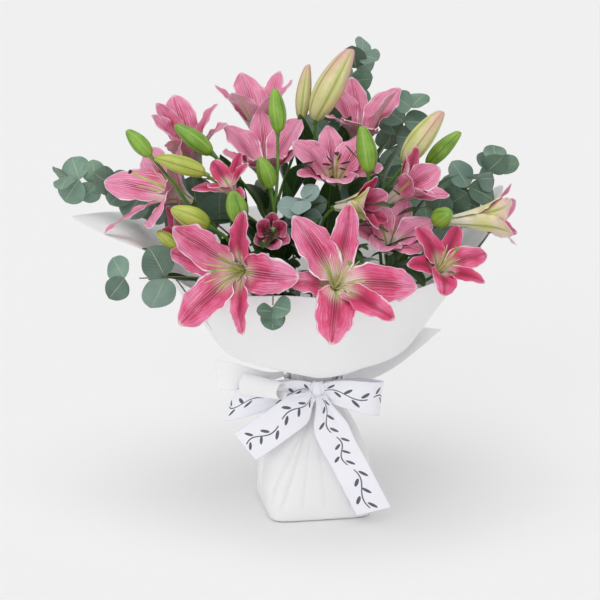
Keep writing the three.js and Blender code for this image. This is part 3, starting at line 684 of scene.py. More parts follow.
def stamens(name, flower_name, length, stigma_finish, anthers=None, spread=0.36, count=6):
    """Filaments and a style in a flower's own frame, from its throat to their tips."""
    facts = FLOWERS[flower_name]
    place = aimed(from_tie(*facts["at"]), *facts["aim"], facts["roll"])
    parts = []
    for k in range(count):
        a = radians(60 * k + 30 + random.uniform(-9, 9))
        reach = spread * length * random.uniform(0.85, 1.1)
        top = 0.82 * length * random.uniform(0.92, 1.04)
        low = [(0.05 * reach + 1.2, 8), (0.16 * reach + 1.2, 0.35 * top)]
        line = low + [(0.5 * reach, 0.74 * top), (reach, top)]
        path = [place @ (Vector((r * cos(a), r * sin(a), z)) * MM) for r, z in line]
        parts.append(rod(path, [1.1 * MM, 0.95 * MM, 0.8 * MM, 0.45 * MM], filament.material))
        if anthers:
            tip = place @ Matrix.Translation((reach * MM * cos(a), reach * MM * sin(a), top * MM))
            tilt = Matrix.Rotation(a, 4, "Z") @ Matrix.Rotation(radians(70), 4, "Y")
            parts.append(knob(tip @ tilt, (1.5 * MM, 1.5 * MM, 6.5 * MM), anthers, 2))
    end = Vector((4, 3, length)) * MM
    style = [place @ (end * share + Vector((0, 0, 8 * MM)) * (1 - share)) for share in (0, 0.4, 0.8, 1)]
    parts.append(rod(style, [1.9 * MM, 1.6 * MM, 1.3 * MM, 1.5 * MM], filament.material, 4))
    parts.append(knob(place @ Matrix.Translation(end), (3.6 * MM, 3.6 * MM, 2.3 * MM), stigma_finish))
    piece = join(parts, "stamens_in_" + name)
    return finish_piece(piece, "stamens", *(["stamens_" + name] if "stamens_" + name in nodes else []))


stamens("front_left", "front_left", 74, stigma_green.material)
stamens("front_right", "front_right", 74, stigma_green.material)
stamens("right", "right", 56, stigma_green.material, spread=0.24)
stamens("left", "left", 88, maroon.material, spread=0.2, count=3)
stamens("small_front", "small_front", 36, stigma_green.material, maroon.material, 0.14, 4)
stamens("centre_right", "centre_right", 62, maroon.material, maroon.material, 0.2, 6)
print("stamens in six flowers")

# %% [markdown]
# ## Buds
# A closed lily bud is a blunt spindle of three outer tepals, which meet in three seams, and each has a
# raised keel. A sphere's points are moved out to that profile, with the seams pressed in. Young buds
# are green. Those about to open are cream with a green keel, and blush pink from the tip and edges.

# %% Bud finishes


def bud_finish(name, body, light, seam, keel, flush, flush_from):
    f = Finish(name, Roughness=0.38, Subsurface_Weight=0.08, Subsurface_Scale=0.004, Coat_Weight=0.12)
    u, v = f.uv()
    cycle = (u * 3).maths("FRACT", u * 3)
    from_keel = (cycle - 0.5).size() * 2
    patch = f.noise(60.0, 3.0)
    streak = f.noise(1.0, 3.0, f.vector(u * 60, v * 3.0))
    colour = f.blend((patch * 0.7 + streak * 0.5).rise(0.35, 0.85), body, light)
    side = (from_keel * 0.55 + (v - flush_from) * 1.5 + (streak - 0.5) * 0.5).rise(0.2, 0.85)
    colour = f.blend(side * 0.8 * v.rise(flush_from - 0.3, flush_from + 0.3), colour, flush)
    colour = f.blend(from_keel.rise(0.16, 0.04) * 0.7, colour, keel)
    colour = f.blend(from_keel.rise(0.9, 0.99) * 0.75, colour, seam)
    colour = f.blend(v.rise(0.1, 0.0) * 0.6, colour, seam)
    f.set(Base_Color=colour)
    f.bump(streak * 0.6 + patch * 0.3 - from_keel.rise(0.92, 1.0), 0.0007, 0.5)
    return f.material


bud_green = bud_finish(
    "bud_green", srgb(96, 142, 38), srgb(140, 178, 60), srgb(52, 84, 26), srgb(150, 186, 84),
    srgb(120, 160, 52), 0.8,
)
bud_cream = bud_finish(
    "bud_cream", srgb(196, 196, 118), srgb(222, 220, 164), srgb(120, 140, 50), srgb(150, 176, 60),
    srgb(216, 152, 160), 0.45,
)
bud_lime = bud_finish(
    "bud_lime", srgb(150, 166, 52), srgb(190, 194, 92), srgb(84, 104, 30), srgb(128, 160, 48),
    srgb(196, 178, 108), 0.7,
)

# %% Buds
BUD_PROFILE = [
    # radius and height, as shares of the bud's
    (0, 0), (0.36, 0.004), (0.74, 0.12), (1, 0.38), (0.84, 0.68), (0.46, 0.92), (0.2, 0.985), (0, 1),
]


def bud(name, at, aim, length, thick, material, slot):
    """One bud: its profile turned round, with three seams and the keels between them."""
    deselect()
    bpy.ops.mesh.primitive_uv_sphere_add(segments=36, ring_count=20, radius=1)
    obj = bpy.context.object
    co = points_of(obj.data)
    v = 1 - np.arccos(np.clip(co[:, 2], -1, 1)) / pi
    around = np.arctan2(co[:, 1], co[:, 0])
    shape = through([(r, z, 0) for r, z in BUD_PROFILE], v)
    cycle = np.mod(around / (2 * pi) * 3, 1)
    from_seam = np.minimum(cycle, 1 - cycle)
    groove = 0.16 * np.exp(-((from_seam / 0.07) ** 2)) * np.sin(pi * v) ** 0.7
    keel = 0.05 * np.exp(-(((cycle - 0.5) / 0.09) ** 2)) * np.sin(pi * v)
    r = np.abs(shape[:, 0]) * (1 - groove + keel) * thick / 2 * MM
    lean = 0.05 * length * MM * np.sin(pi * v)
    points = np.stack([r * np.cos(around) + lean, r * np.sin(around), shape[:, 1] * length * MM], axis=1)
    obj.data.vertices.foreach_set("co", points.ravel())
    obj.data.transform(aimed(from_tie(*at), *aim, random.uniform(0, 120)))
    obj.data.materials.append(material)
    soft = obj.modifiers.new("smooth", "SUBSURF")
    soft.levels = soft.render_levels = 1
    apply_modifiers(obj)
    obj.name = "closed_" + name
    return finish_piece(obj, slot, name)


BUDS = {
    "left_tip": ((-200, -114, 306), (-88, 48), 42, 21, bud_green),
    "upper_left": ((-128, -72, 302), (-88, 38), 57, 24, bud_green),
    "left_long": ((-134, -116, 284), (-88, 17), 64, 23, bud_lime),
    "top_centre": ((-45, -86, 331), (-80, 84), 54, 22, bud_green),
    "centre": ((-54, -112, 266), (-50, 66), 42, 24, bud_green),
    "middle": ((-91, -173, 236), (-25, 64), 44, 26, bud_green),
    "low_left": ((-128, -158, 228), (-80, 26), 50, 28, bud_lime),
    "side_left": ((-165, -124, 189), (-80, 42), 38, 19, bud_lime),
    "top_large": ((3, 8, 332), (85, 62), 102, 37, bud_cream),
    "top_small": ((-14, 30, 328), (60, 82), 74, 20, bud_cream),
    "right_large": ((115, -32, 282), (88, 54), 82, 31, bud_cream),
    "right_tip": ((146, -4, 275), (88, 46), 60, 22, bud_green),
    "right_centre": ((66, -98, 283), (-80, 80), 58, 26, bud_green),
    "right_low": ((150, -110, 222), (30, 30), 34, 26, bud_green),
}
CREAM_NODES = {"left_long", "low_left", "top_large", "top_small", "right_large"}
for name, facts in BUDS.items():
    bud("bud_" + name, *facts, "buds_cream" if name in CREAM_NODES else "buds_green")
print("buds:", len(BUDS))

# %% [markdown]
# ## Stems and stalks
# Six lily stems stand in the water, pass through the tie and fork below the flowers. Each stalk leaves
# the fork along the stem and arrives along the flower's axis, as a cubic curve between the two.

# %% Stems
LILY_RING = 9.6 * MM  # the lily stems stand on this radius in the tie
TWIG_RING = 16.4 * MM
SPLAY = 2.2  # how much wider both rings are at the cut ends
STEM_END = 22 * MM
STEM_RADIUS = 3.6 * MM
STEMS = {
    # bearing in the tie, the fork from the binding point, and what the stem carries
    "left": (
        -78, (-90, -24, 126),
        ["left", "lower_left", "bud_left_tip", "bud_left_long", "bud_side_left", "bud_low_left"],
    ),
    "front_left": (
        -30, (-45, -75, 110),
        ["front_left", "small_left", "bud_middle", "small_front", "bud_centre", "bud_top_centre"],
    ),
    "front_right": (22, (14, -70, 100), ["front_right", "mid_right"]),
    "right": (75, (80, -35, 110), ["right", "far_right", "bud_right_low", "upper_right", "right_back"]),
    "back_right": (
        140, (50, 15, 170),
        ["top_right", "centre_right", "bud_right_large", "bud_right_tip", "bud_top_large",
         "bud_right_centre"],
    ),
    "back_left": (
        -135, (-50, 10, 170), ["upper_left", "top_left", "centre", "bud_top_small", "bud_upper_left"],
    ),
}
stem_green = Finish("stem_green", Roughness=0.42, Coat_Weight=0.05)
stem_green.set(
    Base_Color=stem_green.ramp(
        stem_green.noise(30.0, 4.0),
        [(0.3, srgb(58, 98, 32)), (0.5, srgb(92, 138, 48)), (0.72, srgb(128, 160, 66))],
    )
)
stem_green.bump(stem_green.noise(500.0, 3.0), 0.0004, 0.5)


def stem_foot(bearing, ring):
    """The path from the cut end to a little above the tie."""
    out = heading(bearing)
    heights = [(SPLAY, STEM_END), (1, TIE_HEIGHT - 9 * MM), (1, TIE_HEIGHT + 18 * MM)]
    return [out * ring * wide + Vector((0, 0, z)) for wide, z in heights]


def bend(start, leaving, end, arriving):
    """A cubic curve that leaves the start and arrives at the end in given directions."""
    reach = 0.33 * (end - start).length
    a, b, c, d = start, start + leaving * reach, end - arriving * reach, end
    path = []
    for u in map(float, np.linspace(0, 1, 7)):
        w = 1 - u
        path.append(a * w**3 + b * 3 * w**2 * u + c * 3 * w * u**2 + d * u**3)
    return path


def head(name):
    """Where a flower or bud sits and where it points."""
    if name.startswith("bud_"):
        at, aim = BUDS[name[4:]][:2]
    else:
        at, aim = FLOWERS[name]["at"], FLOWERS[name]["aim"]
    return from_tie(*at), heading(*aim)


def lily_stem(name, bearing, fork, heads):
    foot = stem_foot(bearing, LILY_RING)
    crotch = from_tie(*fork)
    up = (crotch - foot[2]).normalized()
    trunk = foot + bend(foot[2], Vector((0, 0, 1)), crotch, up)[1:]
    parts = [rod(trunk, STEM_RADIUS, stem_green.material, 4)]
    for one in heads:
        at, way = head(one)
        stalk = bend(crotch - up * 3 * MM, up, at, way)
        parts.append(rod(stalk, np.linspace(2.3, 1.9, len(stalk)) * MM, stem_green.material))
        seat = [at - way * 7 * MM, at - way * 3 * MM, at + way * 1.5 * MM]
        parts.append(rod(seat, np.array([1.9, 2.6, 3.6]) * MM, stem_green.material))
    return finish_piece(join(parts, "forked_stem_" + name), "lily_stems", "lily_stem_" + name)


for name, facts in STEMS.items():
    lily_stem(name, *facts)
print("stems:", len(STEMS))

# %% [markdown]
# ## Leaves
# Lily leaves are long, dark and glossy, with veins that run along them. They fill the bunch between the
# flowers. A leaf is a blade whose middle line bends over as it goes out, slightly folded along its
# middle. Eucalyptus leaves are round, thin and matt, blue-green with a pale middle vein.

# %% Leaf finishes
lily_leaf = Finish("lily_leaf", Roughness=0.36, Coat_Weight=0.1)
lily_leaf.set(Subsurface_Weight=0.05, Subsurface_Scale=0.003)
u, v = lily_leaf.uv()
vein = ((u * 70).sine() * 0.5 + 0.5) ** 3
colour = lily_leaf.blend(lily_leaf.noise(30.0), srgb(22, 54, 24), srgb(56, 98, 40))
colour = lily_leaf.blend(vein * 0.25, colour, srgb(96, 140, 60))
colour = lily_leaf.blend((u - 0.5).size().rise(0.04, 0.0) * 0.6, colour, srgb(120, 156, 76))
lily_leaf.set(Base_Color=colour)
lily_leaf.bump(vein, 0.0005, 0.5)

gum_leaf = Finish("gum_leaf", Roughness=0.58, Sheen_Weight=0.2)
u, v = gum_leaf.uv()
off = (u - 0.5).size()
patch = gum_leaf.noise(26.0, 4.0)
speck = gum_leaf.noise(600.0, 2.0)
colour = gum_leaf.blend((patch + (speck - 0.5) * 0.3).rise(0.3, 0.7), srgb(76, 112, 90), srgb(118, 150, 126))
colour = gum_leaf.blend(gum_leaf.shade("dew") * 0.85, colour, srgb(148, 172, 170))
colour = gum_leaf.blend(gum_leaf.shade("dark") * 0.85, colour, srgb(58, 82, 68))
side = ((v * 9 - off * 7) * 2 * pi).sine().rise(0.9, 1.0) * off.rise(0.5, 0.1)
colour = gum_leaf.blend((off.rise(0.022, 0.004) * 0.8).most(side * 0.3), colour, srgb(176, 190, 160))
colour = gum_leaf.blend((off * 2).rise(0.93, 1.0) * 0.5, colour, srgb(150, 132, 116))
gum_leaf.set(Base_Color=colour)
gum_leaf.bump(side * 0.8 - off.rise(0.03, 0.0) + speck * 0.15, 0.0004, 0.6)

gum_twig = Finish("gum_twig", Roughness=0.6)
gum_twig.set(Base_Color=gum_twig.blend(gum_twig.noise(80.0), srgb(96, 98, 74), srgb(140, 116, 96)))
gum_twig.bump(gum_twig.noise(700.0), 0.0004, 0.6)

# %% Leaf shapes


def leaf_surface(length, width, droop, fold=0.12, widest=0.8, blunt=0.75, wave=0.0, phase=0.0):
    """A leaf along local +Z that bends over towards +Y by droop degrees, with a fold along its middle."""
    steps = np.linspace(0, 1, 41)
    angle = radians(droop) * steps**1.3
    z_line = length * np.concatenate([[0], np.cumsum(np.cos(angle[1:])) / 40])
    y_line = length * np.concatenate([[0], np.cumsum(np.sin(angle[1:])) / 40])

    def surface(s, t):
        a = np.interp(s, steps, angle)
        half = width / 2 * np.maximum(0.02, np.sin(pi * np.clip(s, 0, 1) ** widest) ** blunt)
        rise = np.abs(t) * fold * half + wave * np.abs(t) ** 2 * np.sin(s * 11 + phase + t)
        y = np.interp(s, steps, y_line) - rise * np.cos(a)
        z = np.interp(s, steps, z_line) + rise * np.sin(a)
        return np.stack([t * half, y, z], axis=1)

    return surface


def leaf_place(base, along, back):
    """The placing with local Z along the leaf and local Y as near to its back as it can be."""
    z = along.normalized()
    x = back.cross(z).normalized()
    return Matrix.Translation(base) @ Matrix((x, z.cross(x), z)).transposed().to_4x4()


# %% Lily leaves
LONG_LEAVES = [
    # base from the binding point, bearing and lift, length, width, droop
    ((-62, -88, 160), (-40, 72), 96, 24, 50),
    ((-40, -92, 165), (18, 62), 100, 32, 75),
    ((-52, -100, 178), (-8, 50), 84, 30, 70),
    ((-30, -80, 190), (48, 70), 92, 22, 60),
    ((8, -92, 180), (70, 58), 104, 22, 85),
    ((30, -98, 168), (30, 50), 80, 24, 60),
    ((-96, -92, 170), (-70, 48), 82, 22, 60),
    ((-30, -70, 200), (-10, 80), 80, 18, 30),
    ((106, -92, 253), (-88, 39), 92, 9, -8),
    ((84, -84, 180), (60, 40), 90, 22, 60),
    ((120, -60, 190), (85, 35), 90, 20, 50),
    ((-20, -120, 168), (-30, 36), 70, 24, 60),
    ((60, -110, 160), (20, 32), 76, 26, 60),
    ((-58, -96, 186), (-56, 62), 92, 36, 60),
    ((-44, -104, 190), (40, 44), 88, 36, 80),
    ((-66, -104, 172), (-24, 40), 84, 34, 70),
    ((-14, -96, 196), (10, 58), 92, 36, 78),
    ((6, -104, 176), (44, 40), 84, 32, 80),
    ((-18, -110, 176), (-62, 50), 78, 32, 70),
    ((34, -84, 206), (58, 62), 90, 32, 80),
    ((70, -98, 176), (66, 30), 84, 30, 80),
    ((-84, -60, 220), (-60, 66), 90, 32, 60),
    ((-30, -40, 236), (30, 70), 92, 32, 60),
    ((50, -40, 236), (30, 62), 88, 30, 70),
    ((-110, -80, 196), (-60, 30), 80, 28, 60),
    ((100, -60, 200), (40, 56), 86, 30, 60),
    ((20, -100, 140), (-6, 22), 60, 32, 70),
    ((-36, -100, 150), (-8, 24), 64, 34, 70),
    ((96, -96, 160), (40, 20), 66, 28, 70),
    ((-134, -122, 148), (-78, 16), 72, 34, 20),
    ((-150, -110, 160), (-84, 40), 70, 34, 30),
    ((16, -40, 176), (10, 82), 108, 36, 30),
    ((96, -20, 190), (50, 78), 104, 34, 30),
    ((-6, 30, 236), (-20, 82), 112, 34, 24),
    ((26, 40, 236), (30, 80), 112, 32, 28),
    ((-36, 50, 236), (-60, 78), 104, 32, 30),
    ((84, 20, 230), (70, 74), 108, 34, 30),
    ((-104, 20, 220), (-70, 76), 110, 34, 30),
    ((-96, -30, 206), (-30, 80), 104, 34, 30),
    ((60, -30, 226), (60, 80), 100, 32, 30),
    ((120, -30, 200), (80, 66), 96, 30, 40),
]
made = []
for base, aim, length, width, droop in LONG_LEAVES:
    way = heading(*aim)
    place = leaf_place(from_tie(*base), way, heading(aim[0]) - Vector((0, 0, 0.4)))
    surface = leaf_surface(length * MM, width * MM, droop, 0.2, wave=1.2 * MM, phase=random.uniform(0, 6))
    made.append(blade(surface, 6, 20, [lily_leaf.material], place))
for bearing, fork, heads in STEMS.values():
    for k in range(7):
        turn = bearing + 137 * k
        base = from_tie(*(Vector(fork) * (0.72 + 0.09 * k)))
        place = leaf_place(base, heading(turn, 30 + 5 * k), heading(turn) - Vector((0, 0, 0.5)))
        size = random.uniform(74, 100) * MM, random.uniform(22, 32) * MM
        surface = leaf_surface(*size, 55, 0.2, wave=1 * MM, phase=k)
        made.append(blade(surface, 6, 18, [lily_leaf.material], place))
leaves = thicken(join(made, "lily_leaves"), 0.5 * MM, 1)
finish_piece(leaves, "lily_stems")
print("lily leaves:", len(made))

# %% Eucalyptus
TWIGS = {
    # bearing in the tie, a point on the way and the end, where the leaves start, a quarter of the
    # number of leaves, their size, how far the first pair is turned, and how pale they are
    "left": (-100, (-120, 30, 190), (-322, 6, 262), 0.5, 6, 48, 20, 0.1),
    "low_left": (-45, (-108, -118, 146), (-236, -144, 160), 0.8, 1, 42, 70, 0.2),
    "top": (180, (0, 100, 240), (66, 104, 410), 0.5, 5, 46, 10, 0.1),
    "top_right": (130, (60, 84, 200), (130, 66, 345), 0.5, 4, 50, 50, 0.1),
    "right": (95, (125, 30, 168), (240, 24, 278), 0.5, 5, 48, 30, 0.1),
    "centre": (4, (-26, -60, 165), (-12, -110, 252), 0.6, 3, 40, 0, 0.9),
    "low_front": (-10, (-44, -170, 169), (-50, -240, 140), 0.93, 1, 27, 78, 0.1),
}


def eucalyptus(name, bearing, via, end, first, pairs, leaf, turn, dew):
    """A twig through the tie to its end, with crossing pairs of round leaves."""
    foot = stem_foot(bearing, TWIG_RING)
    line = through([foot[2], from_tie(*via), from_tie(*end)], np.linspace(0, 1, 60))
    path = [Vector(p) for p in line]
    twig = foot + path[6::6]
    parts = [rod(twig, np.linspace(1.9, 0.8, len(twig)) * MM, gum_twig.material)]
    more = 2 * pairs
    for k in range(more):
        share = mix(first, 0.985, k / (more - 1))
        i = round(share * 59)
        base, along = path[i], (path[min(i + 1, 59)] - path[i - 1]).normalized()
        size = leaf * mix(1.1, 0.72, k / 2 / pairs) * (1 if k % 2 == 0 else 0.86) * MM
        for half in (0, 180):
            q = Matrix.Rotation(radians(turn + 45 * k + half + random.uniform(-8, 8)), 3, along)
            sideways = q @ along.cross(Vector((0, 0.3, 1))).normalized()
            back = Vector((random.uniform(-0.8, 0.8), 1, random.uniform(-1.3, 0.5))).normalized()
            out = (sideways + along * 0.5).normalized()
            out = (out - back * out.dot(back) * 0.65).normalized()
            surface = leaf_surface(
                size * 0.95, size * random.uniform(0.95, 1.08), random.uniform(6, 26), 0.08, 0.94, 0.52,
                0.8 * MM, random.uniform(0, 6),
            )
            shades = {"dew": dew + random.uniform(-0.1, 0.25), "dark": max(0.0, random.uniform(-1.0, 0.8))}
            parts.append(blade(surface, 10, 12, [gum_leaf.material], leaf_place(base, out, back), shades))
    piece = join(parts[1:], "gum_leaves_" + name)
    thicken(piece, 0.4 * MM, 1)
    return finish_piece(join([piece, parts[0]], "gum_twig_" + name), "eucalyptus", "eucalyptus_" + name)


for name, facts in TWIGS.items():
    eucalyptus(name, *facts)
print("eucalyptus twigs:", len(TWIGS))

# %% [markdown]
# ## Wrapping paper
# The wrap is matt white non-woven paper: soft, slightly fibrous, and stiff enough to stand. Its
# sheets are gathered at the neck and open as a bowl, each a step inside the one before. All of them
# share one set of folds, so they lie close together. Each sheet is a fan cut to the surface it
# makes, without the paper that real gathers would take up.

# %% Paper finish


def paper_finish(name, tint, fibre):
    f = Finish(name, Roughness=0.82, Sheen_Weight=0.15, Subsurface_Weight=0.2, Subsurface_Scale=0.004)
    f.set(Subsurface_Radius=(1.0, 1.0, 1.0))
    place = f.place()
    cloud = f.noise(9.0, 3.0, place)
    hairs = f.noise(420.0, 4.0, place)
    drawn = {"Vector": place, "Scale": 160.0, "Detail": 5.0, "Distortion": 2.5}
    streak = f.node("ShaderNodeTexNoise", None, drawn)[0]
    colour = f.blend(cloud, tint, tuple(min(1.0, c * 1.035) for c in tint[:3]) + (1,))
    f.set(Base_Color=f.blend((hairs * streak).rise(0.3, 0.55) * 0.1, colour, srgb(226, 226, 228)))
    f.bump(hairs * 0.5 + streak * 0.8 + cloud * 2.0, fibre, 0.5)
    return f.material


paper = paper_finish("white_paper", srgb(246, 246, 247), 0.0006)

# %% The bowl that all the sheets follow


def corner(bearing, middle, reach):
    """1 at the middle bearing, falling to 0 at reach degrees from it: a square sheet's corner."""
    return np.maximum(0, 1 - np.abs(bearing - middle) / reach)


BOWL_START = 34.2  # the radius at which the sheets leave the neck
BOWL_SPREAD = 77  # degrees from upright where the bowl flares
BOWL_RISE = 42  # degrees by which it turns up again


def bowl_line(length, bearing, layer, flare, flare_from):
    """Radius and height along one line up the bowl, and its angle from upright."""
    steps = np.linspace(0, max(length, 1), 90)
    angle = np.radians(
        BOWL_SPREAD * smooth((steps - 6) / 22) - BOWL_RISE * smooth((steps - 84) / 48)
        + flare * smooth((steps - flare_from) / 50)
    )
    gap = np.diff(steps)
    r = BOWL_START + np.concatenate([[0], np.cumsum(np.sin((angle[1:] + angle[:-1]) / 2) * gap)])
    z = TIE_HEIGHT / MM - 8 + np.concatenate([[0], np.cumsum(np.cos((angle[1:] + angle[:-1]) / 2) * gap)])
    b = radians(bearing)
    folds = 0.5 * np.sin(17 * b) * np.exp(-((steps / 34) ** 2)) + smooth((steps - 50) / 160) * (
        3.2 * sin(2.4 * b + 1.1) + 1.5 * sin(6.3 * b + 0.4) + 0.7 * np.sin(13 * b + steps / 38)
    )
    keel = 9 * np.exp(-(((bearing - 6) / 26) ** 2)) * smooth((steps - 14) / 34)
    keel = keel * (1 - smooth((steps - 70) / 70))
    creases = 1.1 * np.abs(np.sin(4.5 * b + 0.6)) ** 0.5 * smooth((steps - 20) / 20)
    creases = creases * (1 - smooth((steps - 90) / 60))
    folds = folds + keel + creases
    r, z = r + folds * np.cos(angle), z - folds * np.sin(angle)
    inside = layer * PAPER_STEP / MM
    return steps, r - inside * np.cos(angle), z + inside * np.sin(angle)


def wrap_surface(layer, start, stop, top, flare=lambda b: 0.0, flare_from=190):
    def surface(s, t):
        bearings = mix(start, stop, (t + 1) / 2)
        points = np.zeros((len(s), 3))
        for bearing in np.unique(bearings):
            here = bearings == bearing
            length = float(top(bearing))
            steps, r, z = bowl_line(length, bearing, layer, flare(bearing), flare_from)
            l = s[here] * length
            way = heading(bearing)
            radius = np.interp(l, steps, r) * MM
            points[here] = np.stack([way.x * radius, way.y * radius, np.interp(l, steps, z) * MM], axis=1)
        return points

    return surface


def declare_sheet(surface):
    n = 40
    s, t = np.meshgrid(np.linspace(0, 1, n), np.linspace(-1, 1, n), indexing="ij")
    p = surface(s.ravel(), t.ravel()).reshape(n, n, 3)


# %% Sheets
SHEETS = {
    "collar": dict(
        layer=2, start=-105, stop=105, top=lambda b: 245 + 26 * smooth(b / 90) + 7 * cos(radians(4 * b))
    ),
    "side_right": dict(layer=3, start=45, stop=150, top=lambda b: 225 + 92 * corner(b, 86, 40)),
    "back": dict(
        layer=4, start=75, stop=300, flare_from=264, flare=lambda b: 42 * smooth((b - 200) / 60),
        top=lambda b: 285 + 70 * corner(b, 103, 30) + 90 * corner(b, 273, 30),
    ),
}
for name, facts in SHEETS.items():
    surface = wrap_surface(**facts)
    columns = round((facts["stop"] - facts["start"]) / 3)
    piece = thicken(blade(surface, columns, 34, [paper]), 0.5 * MM, 1)
    piece.name = "paper_" + name
    finish_piece(piece, "wrapping_paper", "wrap_" + name)
    declare_sheet(surface)

# %% [markdown]
# ### The corners that stand off the bowl
# The outermost sheet's spare corners stick out below the bowl. The right one hangs between a front and
# a back edge. The left one stands upright, and a second fold of it is rolled into a tube in front.

# %% Loose corners


def between(front, back, swell=0.0):
    """The surface between two curves through points, which swells out at mid length."""

    def surface(s, t):
        a, b = (through([from_tie(*q) for q in line], s) for line in (front, back))
        share = ((t + 1) / 2)[:, None]
        middle = a * (1 - share) + b * share
        return middle + np.array([0, -1, 0.3]) * (swell * MM * np.sin(pi * s) * (1 - t * t))[:, None]

    return surface


def loose_corner(name, surface, *replaced):
    piece = thicken(blade(surface, 16, 30, [paper]), 0.5 * MM, 1)
    piece.name = "paper_" + name
    finish_piece(piece, "wrapping_paper", *replaced)
    declare_sheet(surface)


def frill_surface(s, t):
    """A strip that stands upright, narrow at the neck and wide at its end."""
    path = through([from_tie(*q) for q in ((-38, -16, 3), (-66, -29, 1), (-98, -33, 3), (-126, -24, 5))], s)
    half = mix(8, 40, smooth(s / 0.8)) / 2 * MM
    way = np.array([-0.12, -0.1, 1]) / np.linalg.norm([-0.12, -0.1, 1])
    ripple = 2.2 * MM * np.sin(t * 2.2 + s * 4) * smooth(s / 0.4)
    return path + way * (t * half)[:, None] + np.array([0.2, -1, 0]) * ripple[:, None]


def roll_surface(s, t):
    """A tube of paper whose mouth opens to the right and front, before the upright corner."""
    turn = 1.85 * pi * (t + 1) / 2 + 0.2
    radius = mix(11, 15, s)
    beside = np.cos(turn) * radius
    x = mix(-40, -86, s) + 0.66 * beside
    y = mix(-88, -56, s) + 0.525 * beside
    z = radius * np.sin(turn) + TIE_HEIGHT / MM
    return np.stack([x, y, z], axis=1) * MM


loose_corner(
    "lower_right",
    between(
        [(44, -6, -14), (76, -4, -8), (114, -2, 13), (168, 2, 58)],
        [(34, 34, -14), (58, 40, 0), (92, 50, 16), (138, 58, 48)], 2.0,
    ),
    "wrap_lower_right",
)
loose_corner("frill_left", frill_surface, "wrap_frill_left")
loose_corner("roll_left", roll_surface)

# %% [markdown]
# ## The foot
# The paper goes on below the tie: it is folded round the water bag into a soft-cornered block that
# stands flat, and is gathered up to the neck in pleats. One closed sheet makes it: it starts at the
# middle of the underside, turns up at the edge and narrows to the neck. Creases run up it where the
# paper is tucked.

# %% Foot
FOOT_HALF = 70.0
FOOT_TURN = radians(10)
FOOT_TOP = TIE_HEIGHT / MM - 4
FOOT_LIFT = 0.0004  # the middle of the paper, above the table
NECK = NECK_RADIUS / MM + 1.4
FOOT_SECTIONS = [
    # half width, squareness, height as a share of the foot's
    (FOOT_HALF - 7, 8, 0.0), (FOOT_HALF - 3, 8, 0.015), (FOOT_HALF, 7, 0.1), (FOOT_HALF + 3, 5, 0.24),
    (FOOT_HALF - 2, 4, 0.46), (mix(FOOT_HALF, NECK, 0.42), 3, 0.64), (mix(FOOT_HALF, NECK, 0.82), 2.3, 0.76),
    (NECK, 2, 0.84), (NECK, 2, 1.0),
]
CREASES = [
    # bearing at the base, how far it turns up to the neck, depth in millimetres, width in degrees
    (-46, 44, 3.6, 5), (-32, 30, 3.0, 4), (-12, 12, 1.0, 5), (14, -12, 0.8, 7),
    (40, -16, 2.2, 5), (62, -30, 3.0, 6), (95, -20, 3.0, 5), (128, -26, 2.6, 6),
    (160, 10, 2.0, 6), (-160, 24, 2.8, 6), (-124, 26, 3.0, 5), (-88, 30, 3.2, 5),
]


def foot_surface(s, t):
    bottom = 0.16  # the share of the rows that lies under the foot
    height = np.clip((s - bottom) / (1 - bottom), 0, 1)
    halves, squares, shares = zip(*FOOT_SECTIONS)
    half, square, share = (np.interp(height, shares, column) for column in (halves, squares, shares))
    a = pi * t
    r = half / (np.abs(np.cos(a)) ** square + np.abs(np.sin(a)) ** square) ** (1 / square)
    r = r * np.clip(s / bottom, 0, 1)
    turned = a + FOOT_TURN
    bearing = np.degrees(turned) + 90
    depth = np.zeros_like(r)
    for start, along, deep, wide in CREASES:
        away = np.mod(bearing - start - along * height + 180, 360) - 180
        sharp = np.where(away > 0, np.exp(-away / (2.6 * wide)), np.exp(away / (0.3 * wide)))
        depth += 2.2 * deep * sharp * smooth((height - 0.02) / 0.2) * (1 - 0.45 * height)
    pleats = 0.9 * np.sin(np.radians(bearing) * 21) * smooth((height - 0.5) / 0.35)
    slack = 1.3 * np.sin(np.radians(bearing) * 3 + height * 5) * np.sin(pi * height) ** 0.7
    r = r - (depth + pleats + slack) * np.clip((s - bottom) / 0.1, 0, 1)
    z = share * FOOT_TOP * MM + FOOT_LIFT
    return np.stack([r * np.cos(turned) * MM, r * np.sin(turned) * MM, z], axis=1)


foot = blade(foot_surface, 300, 70, [paper])
select_only([foot])
bpy.ops.object.mode_set(mode="EDIT")
bpy.ops.mesh.select_all(action="SELECT")
bpy.ops.mesh.remove_doubles(threshold=0.00002)
bpy.ops.mesh.normals_make_consistent(inside=False)
bpy.ops.object.mode_set(mode="OBJECT")
thicken(foot, 0.6 * MM, 0)
foot.name = "paper_foot"
finish_piece(foot, "wrapping_paper", "foot_wrap")
low = min(v.co.z for v in foot.data.vertices)
print("foot stands at", round(low * 1000, 2), "mm")

# %% [markdown]
# ## Water bag and tie
# A clear bag of water keeps the stems fresh. The frame's own solid has the right shape, so it stays and
# gets a wet film's finish. The tie is jute twine, wound several times round the stems: a helix of one
# thin rod, with the strands in its bump.

# %% Water and twine
water = Finish("water_bag", Roughness=0.08, Transmission_Weight=0.9, IOR=1.33)
water.set(Base_Color=water.blend(water.noise(12.0), srgb(206, 222, 226), srgb(228, 238, 240)))
water.bump(water.noise(26.0, 3.0), 0.002, 0.5)
nodes["water_bag"].data.materials.clear()
nodes["water_bag"].data.materials.append(water.material)

